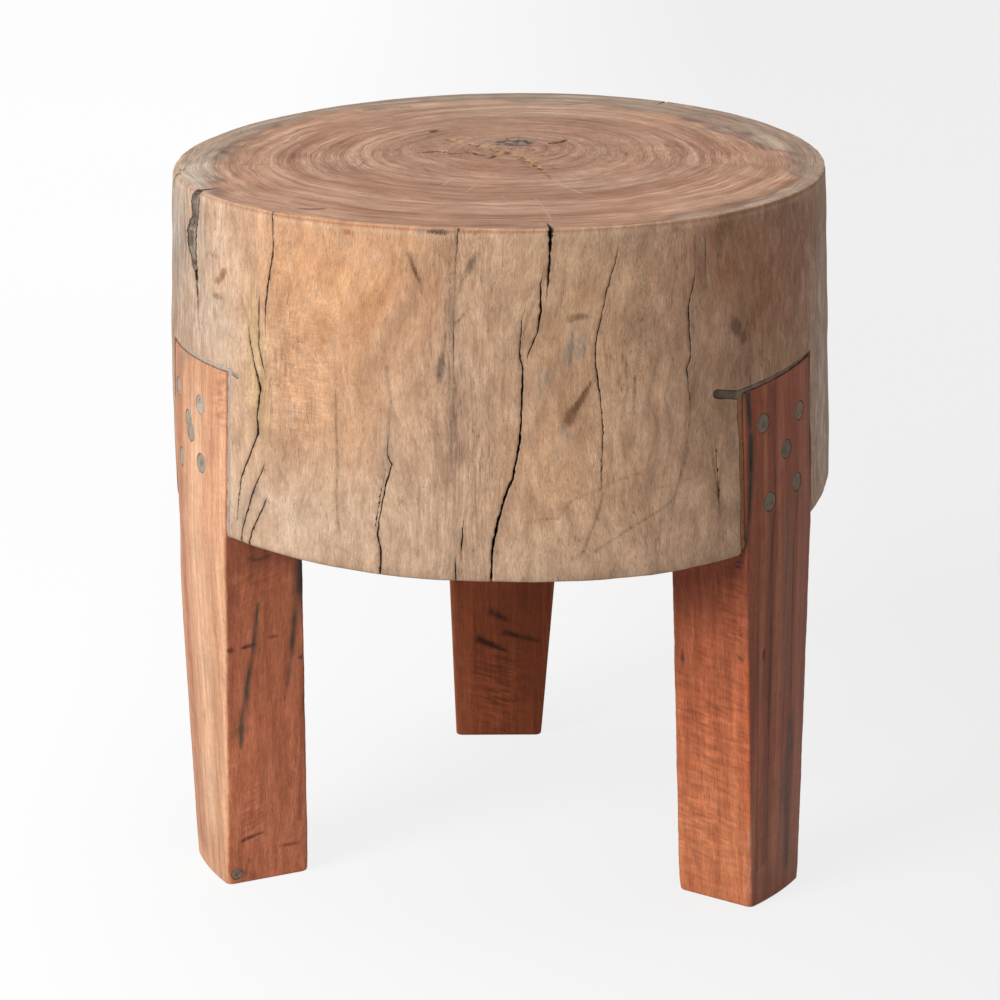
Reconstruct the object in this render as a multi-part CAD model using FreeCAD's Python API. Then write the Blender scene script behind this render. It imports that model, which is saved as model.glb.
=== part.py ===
import FreeCAD, Part
import math
import os

# Round end table: a drum of log on three tapered hardwood legs.
# Each leg's head is let into a housing sawn in the log's side, scribed flush with the log's round,
# held by five counterbored screws, and made good with grey wood filler.
# Millimetres, +Z up. The origin is on the floor under the middle of the log, and the front is -Y.

# Whole table
overall_height = 457.0

# Log drum: its radius at the underside, and how much less it is at the top
log_height = 211.5
log_radius = 215.5
log_taper = 8.0
rim_ease = 3.0
underside_ease = 6.0
oval_shares = (-0.0164, 0.007)
lobe_shares = (-0.0144, -0.0186)
outline_arcs = 36

# Eased edges: how far in and how far along each line of a rounded edge lies, as shares of the ease
ease_shares = [(1.0, 0.0), (0.3, 0.3), (0.0, 1.0)]

# Drying checks, each a wedge that runs in from the log's side towards its heart
check_mouth = 2.4
check_depth = 16.0

# Legs: a head may be sawn off at a slant, lower by up to the drop at its open cheek
leg_head_width = 86.0
leg_foot_width = 59.0
head_rise = 106.0
head_drop = 6.8
housing_depth = 55.0
foot_draw = 10.0
foot_set = 8.0
foot_ease = 4.0

# Wood filler in the housings
head_seam = 3.4
cheek_seam = 4.5
filler_depth = 15.0
overcut_length = 16.0
overcut_height = 6.0
overcut_tilt = 4.0

# Screws and the plugs of filler over them
plug_diameter = 12.7
screw_length = 80.0
screw_shank_diameter = 5.5
screw_tip_length = 9.0
screw_head_diameter = 10.5
screw_head_height = 4.0
screw_grip = 36.0
shank_clearance = 0.5

# Filled knot in the front left foot
knot_diameter = 7.0
knot_depth = 8.0
knot_inset = 8.0
knot_rise = 8.5

# How far every cut runs past the face that it opens
overrun = 15.0

# The checks: width and depth as shares of the usual ones, then the line from the top down, each point an
# angle round the log, a height as a share of the log's, and how far open the check is there.
check_shares = [
    dict(mouth=3.2, depth=0.9, line=[
        (-151.6, 1.06, 1.0), (-153.2, 0.95, 0.8), (-152.4, 0.92, 0.5), (-154.8, 0.87, 0.9),
        (-154.3, 0.82, 0.7), (-152.4, 0.76, 0.4), (-151.2, 0.65, 0.1)]),
    dict(mouth=0.6, depth=0.8, line=[
        (-130.8, 1.06, 1.0), (-130.7, 0.88, 1.0), (-131.9, 0.8, 0.8), (-132.4, 0.62, 0.1)]),
    dict(mouth=0.9, depth=0.9, line=[
        (-136.3, 0.63, 0.1), (-133.8, 0.5, 0.9), (-134.2, 0.35, 1.0), (-137.2, 0.22, 0.8),
        (-138.2, 0.11, 0.1)]),
    dict(mouth=0.7, depth=0.8, line=[
        (-108.6, 0.4, 0.1), (-108.7, 0.33, 0.7), (-111.0, 0.17, 1.0), (-110.4, 0.08, 1.0),
        (-110.8, -0.06, 1.0)]),
    dict(mouth=1.0, depth=1.4, line=[
        (-82.6, 1.06, 1.0), (-82.7, 0.92, 1.0), (-83.2, 0.84, 0.9), (-84.4, 0.79, 0.6), (-84.5, 0.73, 0.8),
        (-87.0, 0.62, 0.7), (-87.4, 0.46, 1.0), (-88.8, 0.3, 1.0), (-91.0, 0.18, 1.0), (-92.3, 0.07, 0.8),
        (-92.3, -0.06, 0.8)]),
    dict(mouth=0.5, depth=0.9, line=[
        (-71.5, 0.95, 0.1), (-73.7, 0.81, 0.9), (-75.4, 0.65, 1.0), (-74.4, 0.47, 1.0), (-74.8, 0.23, 0.1)]),
    dict(mouth=0.5, depth=0.8, line=[
        (-58.2, 0.91, 0.1), (-58.3, 0.83, 0.9), (-59.4, 0.76, 0.8), (-59.0, 0.62, 1.0), (-59.7, 0.56, 0.8),
        (-59.1, 0.4, 0.8), (-61.5, 0.26, 0.1)]),
]

# The legs. Along the log's side, head and foot run between two shares of their width from the leg's own
# line. The foot's inner and outer faces lie off the housing's floor and the log's round by shares of the
# foot's draw and set. The open cheek is the side of the head with the wide filled seam. The overcut there
# has shares of the usual length, height and upward tilt. Bores are placed from the middle of the head, as
# shares of its width, and up from the log's underside, as shares of its rise.
leg_shares = dict(
    front_left=dict(
        angle=-155.5, head=(-0.36, 0.634), foot=(-0.547, 0.459), drop=0.0,
        housing=1.0, foot_inner=-0.95, foot_outer=-0.86, open_cheek=1, overcut=(0.34, 0.6, -0.5),
        screws=[(-0.35, 0.75), (0.14, 0.74), (-0.08, 0.61), (-0.25, 0.34), (0.16, 0.39)],
        stray_bores=[(-0.03, 0.54)]),
    front_right=dict(
        angle=-34.0, head=(-0.634, 0.272), foot=(-0.585, 0.39), drop=1.0,
        housing=0.94, foot_inner=-0.3, foot_outer=0.26, open_cheek=-1, overcut=(1.0, 1.0, 1.0),
        screws=[(-0.28, 0.73), (0.28, 0.71), (0.04, 0.52), (0.21, 0.29), (-0.21, 0.25)],
        stray_bores=[]),
    rear=dict(
        angle=90.0, head=(-0.578, 0.473), foot=(-0.488, 0.546), drop=0.0,
        housing=1.0, foot_inner=-1.2, foot_outer=-1.06, open_cheek=1, overcut=(0.6, 0.8, 0.0),
        screws=[(-0.26, 0.74), (0.25, 0.72), (0.0, 0.53), (0.22, 0.3), (-0.21, 0.28)],
        stray_bores=[]),
)

# Heights and reaches that follow from the sizes
underside = overall_height - log_height
head_top = underside + head_rise
filler_start = log_radius - filler_depth
beyond_log = log_radius * (1 + sum(map(abs, oval_shares + lobe_shares))) + overrun


def vector(x, y, z):
    return FreeCAD.Vector(x, y, z)


def block(x_span, y_span, z_span):
    """A box between two values on each axis."""
    corner = vector(x_span[0], y_span[0], z_span[0])
    return Part.makeBox(x_span[1] - x_span[0], y_span[1] - y_span[0], z_span[1] - z_span[0], corner)


def turned(shape, leg):
    """A shape drawn with its leg along +X, turned to the leg's place round the log."""
    return shape.rotated(vector(0, 0, 0), vector(0, 0, 1), leg["angle"])


def log_point(angle, height, inset=0):
    """A point of the log's round, which tapers upwards and is slightly oval with three soft lobes."""
    radius = log_radius - log_taper * (height - underside) / log_height - inset
    oval = oval_shares[0] * math.cos(2 * angle) + oval_shares[1] * math.sin(2 * angle)
    lobes = lobe_shares[0] * math.cos(3 * angle) + lobe_shares[1] * math.sin(3 * angle)
    reach = radius * (1 + oval + lobes)
    x = reach * math.cos(angle) - radius * lobe_shares[0]
    y = reach * math.sin(angle) + radius * lobe_shares[1]
    return vector(x, y, height)


def log_outline(height, inset=0):
    """The log's closed outline at one height, as a ring of short arcs."""
    half_turn = math.pi / outline_arcs
    points = [log_point(half_turn * i, height, inset) for i in range(2 * outline_arcs)]
    points.append(points[0])
    arcs = [Part.Arc(*points[i:i + 3]).toShape() for i in range(0, 2 * outline_arcs, 2)]
    return Part.Wire(arcs)


def log_blank():
    """The log sawn to length, with both rims eased."""
    lower = [log_outline(underside + underside_ease * along, underside_ease * inset)
             for inset, along in ease_shares]
    upper = [log_outline(overall_height - rim_ease * along, rim_ease * inset)
             for inset, along in reversed(ease_shares)]
    return Part.makeLoft(lower + upper, True, True)


def check_section(check, angle, height_share, open_share):
    """The three-cornered section of a check where it passes one height."""
    turn = math.radians(angle)
    mouth = log_point(turn, underside + log_height * height_share)
    outward = vector(math.cos(turn), math.sin(turn), 0)
    across = vector(-math.sin(turn), math.cos(turn), 0)
    depth = check_depth * check["depth"] * open_share
    half_width = check_mouth * check["mouth"] * open_share / 2 * (depth + overrun) / depth
    outside = mouth + outward * overrun
    corners = [outside - across * half_width, outside + across * half_width, mouth - outward * depth]
    return Part.makePolygon(corners + corners[:1])


def check_wedge(check):
    return Part.makeLoft([check_section(check, *point) for point in check["line"]], True, True)


def head_span(leg):
    return [leg_head_width * share for share in leg["head"]]


def housing_floor(leg):
    return log_radius - housing_depth * leg["housing"]


def head_line(leg, offset):
    """How high a head's upper end is at an offset to one side of the leg's own line."""
    tight, opened = head_span(leg)[::leg["open_cheek"]]
    return head_top - head_drop * leg["drop"] * (offset - tight) / (opened - tight)


def under_head_line(leg, span, bottom, gap):
    """A block along a leg's line, left long past the log, whose top lies a gap above the head's upper end."""
    start = housing_floor(leg)
    low, high = span
    corners = [vector(start, low, bottom), vector(start, high, bottom),
               vector(start, high, head_line(leg, high) + gap), vector(start, low, head_line(leg, low) + gap)]
    return Part.Face(Part.makePolygon(corners + corners[:1])).extrude(vector(beyond_log - start, 0, 0))


def overcut(leg):
    """The round-ended slot where the saw ran past the housing's upper corner."""
    side = leg["open_cheek"]
    length, height, tilt = leg["overcut"]
    cheek = head_span(leg)[max(side, 0)]
    corner = cheek + side * cheek_seam
    end = corner + side * overcut_length * length
    top = head_line(leg, corner) + head_seam
    bottom = top - overcut_height * height
    rise = overcut_tilt * tilt
    tip = vector(filler_start, end + side * (top - bottom) / 2, (top + bottom) / 2 + rise)
    upper = [(end, top + rise), (corner, top), (cheek, head_line(leg, cheek) + head_seam)]
    lower = [(cheek, bottom), (corner, bottom), (end, bottom + rise)]
    upper, lower = ([vector(filler_start, *place) for place in line] for line in (upper, lower))
    edges = Part.makePolygon(upper + lower).Edges + [Part.Arc(lower[-1], tip, upper[0]).toShape()]
    return Part.Face(Part.Wire(edges)).extrude(vector(beyond_log - filler_start, 0, 0))


def housing(leg):
    """What is sawn out of the log for one leg: the head's room, its seams and the overcut."""
    low, high = head_span(leg)
    if leg["open_cheek"] > 0:
        high += cheek_seam
    else:
        low -= cheek_seam
    room = under_head_line(leg, (low, high), underside - overrun, head_seam)
    return turned(room.fuse(overcut(leg)), leg)


def scribe_reach(leg, offset, height):
    """How far out the log's round lies at an offset to one side of a leg's own line."""
    line = math.radians(leg["angle"])
    along = vector(math.cos(line), math.sin(line), 0)
    across = vector(-math.sin(line), math.cos(line), 0)
    turn = line + math.asin(offset / log_radius)
    miss = log_point(turn, height).dot(across) - offset
    turn -= miss / log_radius
    return log_point(turn, height).dot(along)


def tapered(foot, shoulder):
    """A flat-sided block between two level oblongs, each given as its two spans and its height."""
    (foot_start, foot_end), (foot_low, foot_high), foot_height = foot
    (start, end), (low, high), height = shoulder
    wedge = Part.makeWedge(foot_start, foot_height, -foot_high, -high, start,
                           foot_end, height, -foot_low, -low, end)
    return wedge.rotated(vector(0, 0, 0), vector(1, 0, 0), 90)


def head_block(leg):
    """The square block of a leg's head, left long past the log's round."""
    return under_head_line(leg, head_span(leg), underside, 0)


def crown(radius, centre, along):
    """A long round bar that leans the given way, whose side is the outer face of part of a leg."""
    start = centre - along * (overall_height / along.Length)
    return Part.makeCylinder(radius, 2 * overall_height, start, along)


def outer_crowns(leg):
    """The crowns of a leg's head, flush with the log's round, of its shank, and of the eased foot."""
    low, high = head_span(leg)
    middle = (low + high) / 2
    shoulder = [vector(scribe_reach(leg, offset, underside), offset, underside)
                for offset in (low, middle, high)]
    top = vector(scribe_reach(leg, middle, head_top), middle, head_top)
    ring = Part.Circle(*shoulder)
    foot_centre = vector(log_radius + foot_set * leg["foot_outer"] - ring.Radius, 0, 0)
    foot_radius = ring.Radius - foot_ease
    return [crown(ring.Radius, ring.Center, top - shoulder[1]),
            crown(ring.Radius, ring.Center, ring.Center - foot_centre),
            Part.makeCone(foot_radius, foot_radius + overall_height, overall_height, foot_centre)]


def leg_post(leg):
    """A leg before it is bored: a straight head, and a shank that tapers to an eased foot."""
    low, high = [leg_foot_width * share for share in leg["foot"]]
    inner = housing_floor(leg) + foot_draw * leg["foot_inner"]
    sole = ((inner + foot_ease, beyond_log), (low + foot_ease, high - foot_ease), 0)
    foot = ((inner, beyond_log), (low, high), foot_ease)
    shoulder = ((housing_floor(leg), beyond_log), head_span(leg), underside)
    post = tapered(sole, foot).fuse([tapered(foot, shoulder), head_block(leg)])
    for outer in outer_crowns(leg):
        post = post.common(outer)
    return turned(post, leg)


def bore_places(leg, shares):
    """Where bores run into a leg's head, along the log's side and up from the floor."""
    low, high = head_span(leg)
    return [((low + high) / 2 + (high - low) * across, underside + head_rise * up) for across, up in shares]


def rod(diameter, start, end, place):
    """A round bar along the leg's own line, centred on a bore."""
    return Part.makeCylinder(diameter / 2, end - start, vector(start, place[0], place[1]), vector(1, 0, 0))


def eight_sided(width, x, place):
    """An eight-sided outline square to a bore's line, as wide as given across its flats."""
    reach = width / 2 / math.cos(math.pi / 8)
    turns = [math.pi / 4 * (i + 0.5) for i in range(9)]
    return Part.makePolygon([vector(x, place[0] + reach * math.cos(turn), place[1] + reach * math.sin(turn))
                             for turn in turns])


def bar(width, start, end, place):
    """An eight-sided bar along the leg's own line. Screws and their holes are drawn so, as none shows."""
    return Part.Face(eight_sided(width, start, place)).extrude(vector(end - start, 0, 0))


def counterbores(leg):
    places = bore_places(leg, leg["screws"] + leg["stray_bores"])
    floor = housing_floor(leg) + screw_grip
    return [turned(rod(plug_diameter, floor, beyond_log, place), leg) for place in places]


def shank_holes(leg):
    """Clear holes for the screws through the leg's head."""
    floor = housing_floor(leg)
    hole = screw_shank_diameter + shank_clearance
    return [turned(bar(hole, floor - overrun, floor + screw_grip, place), leg)
            for place in bore_places(leg, leg["screws"])]


def pilot_holes(leg):
    """Holes in the log behind the housing, as wide as the screws' shanks and as deep as their points."""
    seat = housing_floor(leg) + screw_grip
    return [turned(bar(screw_shank_diameter, seat - screw_length, seat, place), leg)
            for place in bore_places(leg, leg["screws"])]


def screw(leg, place):
    """A flat-headed screw with a ground point, its head seated on the counterbore's floor."""
    seat = housing_floor(leg) + screw_grip
    tip = seat - screw_length
    point_base = tip + screw_tip_length
    head = bar(screw_head_diameter, seat, seat + screw_head_height, place)
    shank = bar(screw_shank_diameter, point_base, seat, place)
    base_outline = eight_sided(screw_shank_diameter, point_base, place)
    point = Part.makeLoft([Part.Vertex(tip, place[0], place[1]), base_outline], True, True)
    return head.fuse([shank, point])


def screws(leg):
    return [turned(screw(leg, place), leg) for place in bore_places(leg, leg["screws"])]


def plugs(leg, post):
    """Filler over each screw's head and in any stray bore, finished flush with the leg."""
    start = housing_floor(leg) + screw_grip + screw_head_height
    places = bore_places(leg, leg["screws"] + leg["stray_bores"])
    rods = [rod(plug_diameter, start, beyond_log, place) for place in places]
    return turned(rods[0].multiFuse(rods[1:]).removeSplitter(), leg).common(post)


def knot(leg):
    """The round hollow left by a knot at the foot's front corner."""
    outer = log_radius + foot_set * leg["foot_outer"]
    face = leg_foot_width * leg["foot"][1]
    base = vector(outer - knot_inset, face - knot_depth, knot_rise)
    return turned(Part.makeCylinder(knot_diameter / 2, knot_depth + overrun, base, vector(0, 1, 0)), leg)


def seam_filler(leg, drum):
    """Filler pressed into the seams round a leg's head, flush with the log's round."""
    span = (-beyond_log, beyond_log)
    outer_band = block((filler_start, beyond_log), span, (underside, overall_height))
    return housing(leg).common(turned(outer_band.cut(head_block(leg)), leg)).common(drum)


def export(name, shape):
    shape.exportStep(f"parts/{name}.step")


os.makedirs("parts", exist_ok=True)
whole_drum = log_blank()
drum_cuts = [check_wedge(check) for check in check_shares]
for leg_name, leg in leg_shares.items():
    post = leg_post(leg)
    leg_cuts = counterbores(leg) + shank_holes(leg)
    if leg_name == "front_left":
        leg_cuts.append(knot(leg))
        export("foot_knot_filler", knot(leg).common(post))
    drum_cuts += [housing(leg)] + pilot_holes(leg)
    export(leg_name + "_leg", post.cut(leg_cuts))
    export(leg_name + "_screws", Part.makeCompound(screws(leg)))
    export(leg_name + "_screw_plugs", plugs(leg, post))
    export(leg_name + "_seam_filler", seam_filler(leg, whole_drum))
export("log_drum", whole_drum.cut(drum_cuts))
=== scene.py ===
import math

import bpy
import numpy as np
from mathutils import Matrix, Vector
from mathutils.geometry import delaunay_2d_cdt


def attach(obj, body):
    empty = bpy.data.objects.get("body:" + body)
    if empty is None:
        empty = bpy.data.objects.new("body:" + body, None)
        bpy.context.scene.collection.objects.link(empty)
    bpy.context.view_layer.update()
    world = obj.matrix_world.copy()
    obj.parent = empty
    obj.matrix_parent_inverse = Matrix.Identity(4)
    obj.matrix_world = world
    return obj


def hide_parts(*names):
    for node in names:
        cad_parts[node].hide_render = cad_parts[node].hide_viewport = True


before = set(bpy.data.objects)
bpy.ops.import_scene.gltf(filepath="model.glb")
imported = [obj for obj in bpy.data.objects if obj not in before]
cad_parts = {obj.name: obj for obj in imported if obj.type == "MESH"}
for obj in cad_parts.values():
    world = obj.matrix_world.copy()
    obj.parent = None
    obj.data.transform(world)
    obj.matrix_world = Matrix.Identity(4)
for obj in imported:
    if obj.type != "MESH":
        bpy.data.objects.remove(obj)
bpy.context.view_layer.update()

# Log drum
# A short length of a thick hardwood log, bare of bark, with both ends sawn and the top sanded flat.
# It dried whole, so checks run down its side, and the heart of the top is decayed and fissured.
# All sizes here and below are in millimetres.
overall_height = 457.0
log_height = 211.5
underside = overall_height - log_height
log_radius = 215.5
log_taper = 8.0
log_low_ease = 4.5
oval_shares = (-0.0164, 0.007)
lobe_shares = (-0.0144, -0.0186)
degree_length = log_radius * math.pi / 180
pith = np.array([11.0, 22.0])
decayed_heart = np.array([11.0, 40.0])


def radius_at(height):
    """The log's mean radius at a height. It tapers upwards."""
    return log_radius - log_taper * (height - underside) / log_height


def round_share(angle):
    """The log's reach at an angle as a share of its radius. It is slightly oval, with three soft lobes."""
    oval = oval_shares[0] * np.cos(2 * angle) + oval_shares[1] * np.sin(2 * angle)
    lobes = lobe_shares[0] * np.cos(3 * angle) + lobe_shares[1] * np.sin(3 * angle)
    return 1 + oval + lobes


def log_round(angle, height, inset=0.0):
    """Points of the log's round, drawn in by an inset."""
    radius = radius_at(height) - inset
    reach = radius * round_share(angle)
    x = reach * np.cos(angle) - radius * lobe_shares[0]
    y = reach * np.sin(angle) + radius * lobe_shares[1]
    return np.stack(np.broadcast_arrays(x, y, height), -1)


def log_place(points):
    """For points in or on the log: angle in degrees, height share, and reach as a share of the round's."""
    x, y, height = points.T
    radius = radius_at(height)
    x, y = x + radius * lobe_shares[0], y - radius * lobe_shares[1]
    angle = np.arctan2(y, x)
    reach = np.hypot(x, y) / (radius * round_share(angle))
    return np.degrees(angle), (height - underside) / log_height, reach


def turn_from(angle, start):
    """How far angles lie from another in degrees, between -180 and 180."""
    return (angle - start + 180) % 360 - 180


def hump(at, middle, reach, power=2):
    """A soft hump, 1 at its middle, that fades out over about its reach."""
    return np.exp(-((at - middle) / reach) ** power)


def ramp(at, start, length):
    """A slope from 0 to 1 that begins at a start and takes a length."""
    return np.clip((at - start) / length, 0, 1)


def round_over(share):
    """How far in a rounded edge draws, as a share of its radius, from how near to its end a place is."""
    return 1 - np.sqrt(1 - np.clip(share, 0, 1) ** 2)


def wander(at, length, seed):
    """A smooth chance line, mostly between -1 and 1, whose swings are about as long as given."""
    chance = np.random.default_rng(seed)
    line = 0.0
    for pace, share in ((1.0, 0.5), (1.73, 0.35), (3.1, 0.22), (5.3, 0.12)):
        line = line + share * np.sin(at * (2 * math.pi * pace / length) + chance.uniform(0, 7))
    return line


def mottle(points, size, seed):
    """Soft chance patches in space, mostly between -1 and 1, about as far apart as given on each axis."""
    chance = np.random.default_rng(seed)
    total = np.zeros(len(points))
    for _ in range(10):
        way = chance.normal(size=3)
        way *= chance.uniform(0.7, 1.7) / np.linalg.norm(way)
        total += np.sin((points / size) @ way * 2 * math.pi + chance.uniform(0, 7))
    return total / 3.2


# The checks, from left to right round the front and then round the back. Each point is an angle round
# the log, a height as a share of the log's, and half the width of the check there.
checks = [
    [(-152.0, 1.0, 2.0), (-152.6, 0.985, 4.0), (-153.0, 0.955, 4.4), (-152.6, 0.925, 2.8),
     (-153.6, 0.9, 4.2), (-154.4, 0.865, 5.4), (-154.3, 0.825, 5.0), (-153.4, 0.785, 2.7),
     (-152.7, 0.75, 1.8), (-151.9, 0.69, 0.9), (-151.2, 0.64, 0.0)],
    [(-136.6, 0.66, 0.0), (-136.3, 0.63, 0.3), (-134.9, 0.543, 0.45), (-133.7, 0.479, 0.9),
     (-134.3, 0.403, 0.6), (-134.0, 0.35, 0.75), (-135.7, 0.29, 0.6), (-138.1, 0.205, 0.5),
     (-139.0, 0.116, 0.25), (-139.1, 0.06, 0.0)],
    [(-133.8, 0.76, 0.0), (-133.8, 0.729, 0.35), (-134.0, 0.602, 0.4), (-133.2, 0.561, 0.35),
     (-132.4, 0.512, 0.0), (-132.4, 0.27, 0.0), (-132.7, 0.251, 0.3), (-135.1, 0.175, 0.45),
     (-137.6, 0.058, 0.45), (-138.2, 0.0, 0.4)],
    [(-130.8, 1.0, 0.3), (-130.7, 0.888, 0.4), (-131.9, 0.796, 0.6), (-132.4, 0.723, 0.4),
     (-132.4, 0.622, 0.0), (-131.4, 0.4, 0.0), (-131.8, 0.17, 0.0), (-132.4, 0.151, 0.25),
     (-135.0, 0.062, 0.4), (-136.4, 0.0, 0.4)],
    [(-109.6, 0.3, 0.0), (-110.3, 0.236, 0.15), (-111.1, 0.16, 0.15), (-111.4, 0.12, 0.0)],
    [(-109.0, 0.41, 0.0), (-109.2, 0.347, 0.2), (-108.4, 0.324, 0.3), (-109.5, 0.261, 0.3),
     (-110.5, 0.17, 0.32), (-110.9, 0.12, 0.4), (-110.3, 0.067, 0.5), (-110.5, 0.0, 0.55)],
    [(-97.4, 1.0, 0.35), (-97.6, 0.95, 0.2), (-97.9, 0.864, 0.0), (-98.2, 0.754, 0.0), (-98.2, 0.68, 0.22),
     (-98.2, 0.6, 0.0), (-98.0, 0.07, 0.0), (-98.0, 0.05, 0.3), (-98.0, 0.0, 0.35)],
    [(-96.6, 0.18, 0.0), (-96.8, 0.15, 0.2), (-97.0, 0.1, 0.38), (-97.1, 0.07, 0.0)],
    [(-86.6, 0.79, 0.0), (-87.2, 0.752, 0.2), (-87.6, 0.653, 0.35), (-87.1, 0.608, 0.55),
     (-87.4, 0.469, 0.55), (-87.7, 0.397, 0.6), (-88.8, 0.298, 0.7), (-89.9, 0.255, 0.65),
     (-91.3, 0.165, 0.8), (-92.1, 0.095, 0.65), (-92.3, 0.0, 0.55)],
    [(-83.8, 0.88, 0.0), (-84.2, 0.844, 0.4), (-84.2, 0.773, 0.6), (-84.8, 0.708, 0.5),
     (-86.2, 0.653, 0.25), (-86.5, 0.62, 0.0)],
    [(-82.5, 1.0, 1.6), (-82.6, 0.97, 1.0), (-82.7, 0.92, 0.7), (-83.1, 0.84, 0.4), (-83.3, 0.8, 0.0)],
    [(-71.5, 0.96, 0.0), (-71.7, 0.924, 0.2), (-73.7, 0.81, 0.3), (-75.3, 0.685, 0.32),
     (-75.5, 0.624, 0.35), (-74.6, 0.513, 0.3), (-74.3, 0.419, 0.25), (-74.8, 0.246, 0.0),
     (-75.0, 0.2, 0.0)],
    [(-58.2, 0.85, 0.0), (-58.1, 0.837, 0.2), (-59.4, 0.756, 0.42), (-59.0, 0.613, 0.3),
     (-59.8, 0.577, 0.3), (-59.1, 0.448, 0.0), (-60.7, 0.301, 0.0), (-62.9, 0.17, 0.0)],
    [(-55.9, 0.95, 0.0), (-56.0, 0.9, 0.2), (-56.2, 0.82, 0.0)],
    [(-54.4, 0.38, 0.0), (-54.2, 0.3, 0.15), (-53.9, 0.2, 0.2), (-53.7, 0.14, 0.0)],
    [(6.0, 1.02, 0.6), (7.5, 0.8, 0.6), (6.2, 0.55, 0.4), (7.0, 0.35, 0.0)],
    [(35.0, 0.62, 0.0), (34.0, 0.4, 0.5), (35.8, 0.15, 0.8), (35.0, 0.0, 0.7)],
    [(58.0, 1.02, 1.2), (57.2, 0.8, 1.0), (59.4, 0.6, 0.7), (58.8, 0.48, 0.0)],
    [(88.0, 1.02, 0.4), (88.8, 0.8, 0.5), (87.6, 0.64, 0.0)],
    [(127.0, 0.95, 0.0), (126.0, 0.7, 0.7), (128.4, 0.45, 0.7), (127.2, 0.15, 0.0)],
    [(157.0, 0.55, 0.0), (156.0, 0.3, 0.7), (158.6, 0.1, 1.0), (158.0, 0.0, 0.9)],
    [(176.0, 1.02, 0.6), (175.0, 0.85, 0.5), (177.2, 0.62, 0.3), (176.6, 0.5, 0.0)],
]

# A check's section: offsets from its line in half widths, and its depth there as a share of the deepest
check_offsets = np.array([-1.8, -1.0, -0.45, 0.0, 0.45, 1.0, 1.8])
check_depth_shares = np.array([0.0, 0.03, 0.62, 1.0, 0.62, 0.03, 0.0])
check_brim, check_deepest, check_spacing = 1.8, 18.0, 0.3

# The drum's grid: rows close together at its worn edges, and columns that are closer in front than behind
low_rows = [0, 0.3, 0.9, 1.8, 3, 4.5, 6.5, 9, 12, 15.5, 19]
rim_rows = [5.2, 3.8, 2.6, 1.7, 1.0, 0.5, 0.15, 0]
row_pitch, front_pitch, back_pitch, front_start = 2.0, 1.5, 3.6, 176

# How the side is worn: its rim, its lower edge in front and at the right, and where it swells and tucks in
rim_ease, rim_wear, rim_play = 1.0, 3.8, 0.7
front_ease_less, low_right_draw, low_right_rise = 2.5, 6.0, 12.0
right_swell, left_swell, left_tuck, tuck_height_share = 1.9, 1.2, 5.0, 0.45

# How far the lower edge is off the level, as places across the front and lifts
low_edge = [(-212, 1.5), (-150, 1.0), (-60, -1.4), (0, -1.2), (90, -2.4), (140, -1.8), (212, -0.6)]


def check_at(number, share):
    """Angle and half width of one check at heights given as shares, with its ragged edges."""
    line = np.array(checks[number])[::-1]
    height = share * log_height
    angle = np.interp(share, line[:, 1], line[:, 0])
    half_width = np.interp(share, line[:, 1], line[:, 2])
    sway = 0.3 * wander(height, 11.0, 40 + number) + 0.14 * wander(height, 3.7, 80 + number)
    ragged = 0.4 * wander(height, 7.0, 120 + number) + 0.3 * wander(height, 29.0, 160 + number)
    half_width = half_width * (1 + ragged * np.clip(1.5 - 0.3 * half_width, 0.25, 1))
    return angle + sway / degree_length, np.clip(half_width, 0, None)


def drum_columns(shares):
    angles, half_widths = np.array([check_at(k, shares) for k in range(len(checks))]).transpose(1, 0, 2)
    for k in range(1, len(checks)):
        angles[k] = np.maximum(angles[k], angles[k - 1] + check_spacing)
    gap_right = np.roll(angles, -1, 0) - angles
    gap_right[-1] += 360
    gap_left = np.roll(gap_right, 1, 0)
    open_width = np.maximum(half_widths, 0.1) / degree_length
    reach = np.minimum(check_brim * open_width, 0.42 * np.minimum(gap_left, gap_right)) / check_brim
    depth = np.minimum(check_deepest, 10 * half_widths + 2) * np.clip(half_widths / 0.25, 0, 1)
    depth = depth * np.clip(1.2 - 0.18 * half_widths, 0.3, 1)
    narrow = np.max(half_widths, 1)[:, None] < 1.2
    depth = depth * np.where(narrow, np.clip((1.0 - shares) / 0.04, 0.12, 1), 1)

    turns, sinks = [], []
    for k in range(len(checks)):
        for offset, depth_share in zip(check_offsets, check_depth_shares):
            turns.append(angles[k] + offset * reach[k])
            sinks.append(depth_share * depth[k])
        start = angles[k] + check_brim * reach[k]
        after = (k + 1) % len(checks)
        end = angles[after] + (360 if after == 0 else 0) - check_brim * reach[after]
        pitch = front_pitch if np.mean((start + end) / 2) % 360 > front_start else back_pitch
        count = max(2, int(np.max(end - start) * degree_length / pitch))
        for share in np.arange(1, count) / count:
            turns.append(start + (end - start) * share)
            sinks.append(np.zeros_like(start))
    return np.radians(np.array(turns).T), np.array(sinks).T


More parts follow.
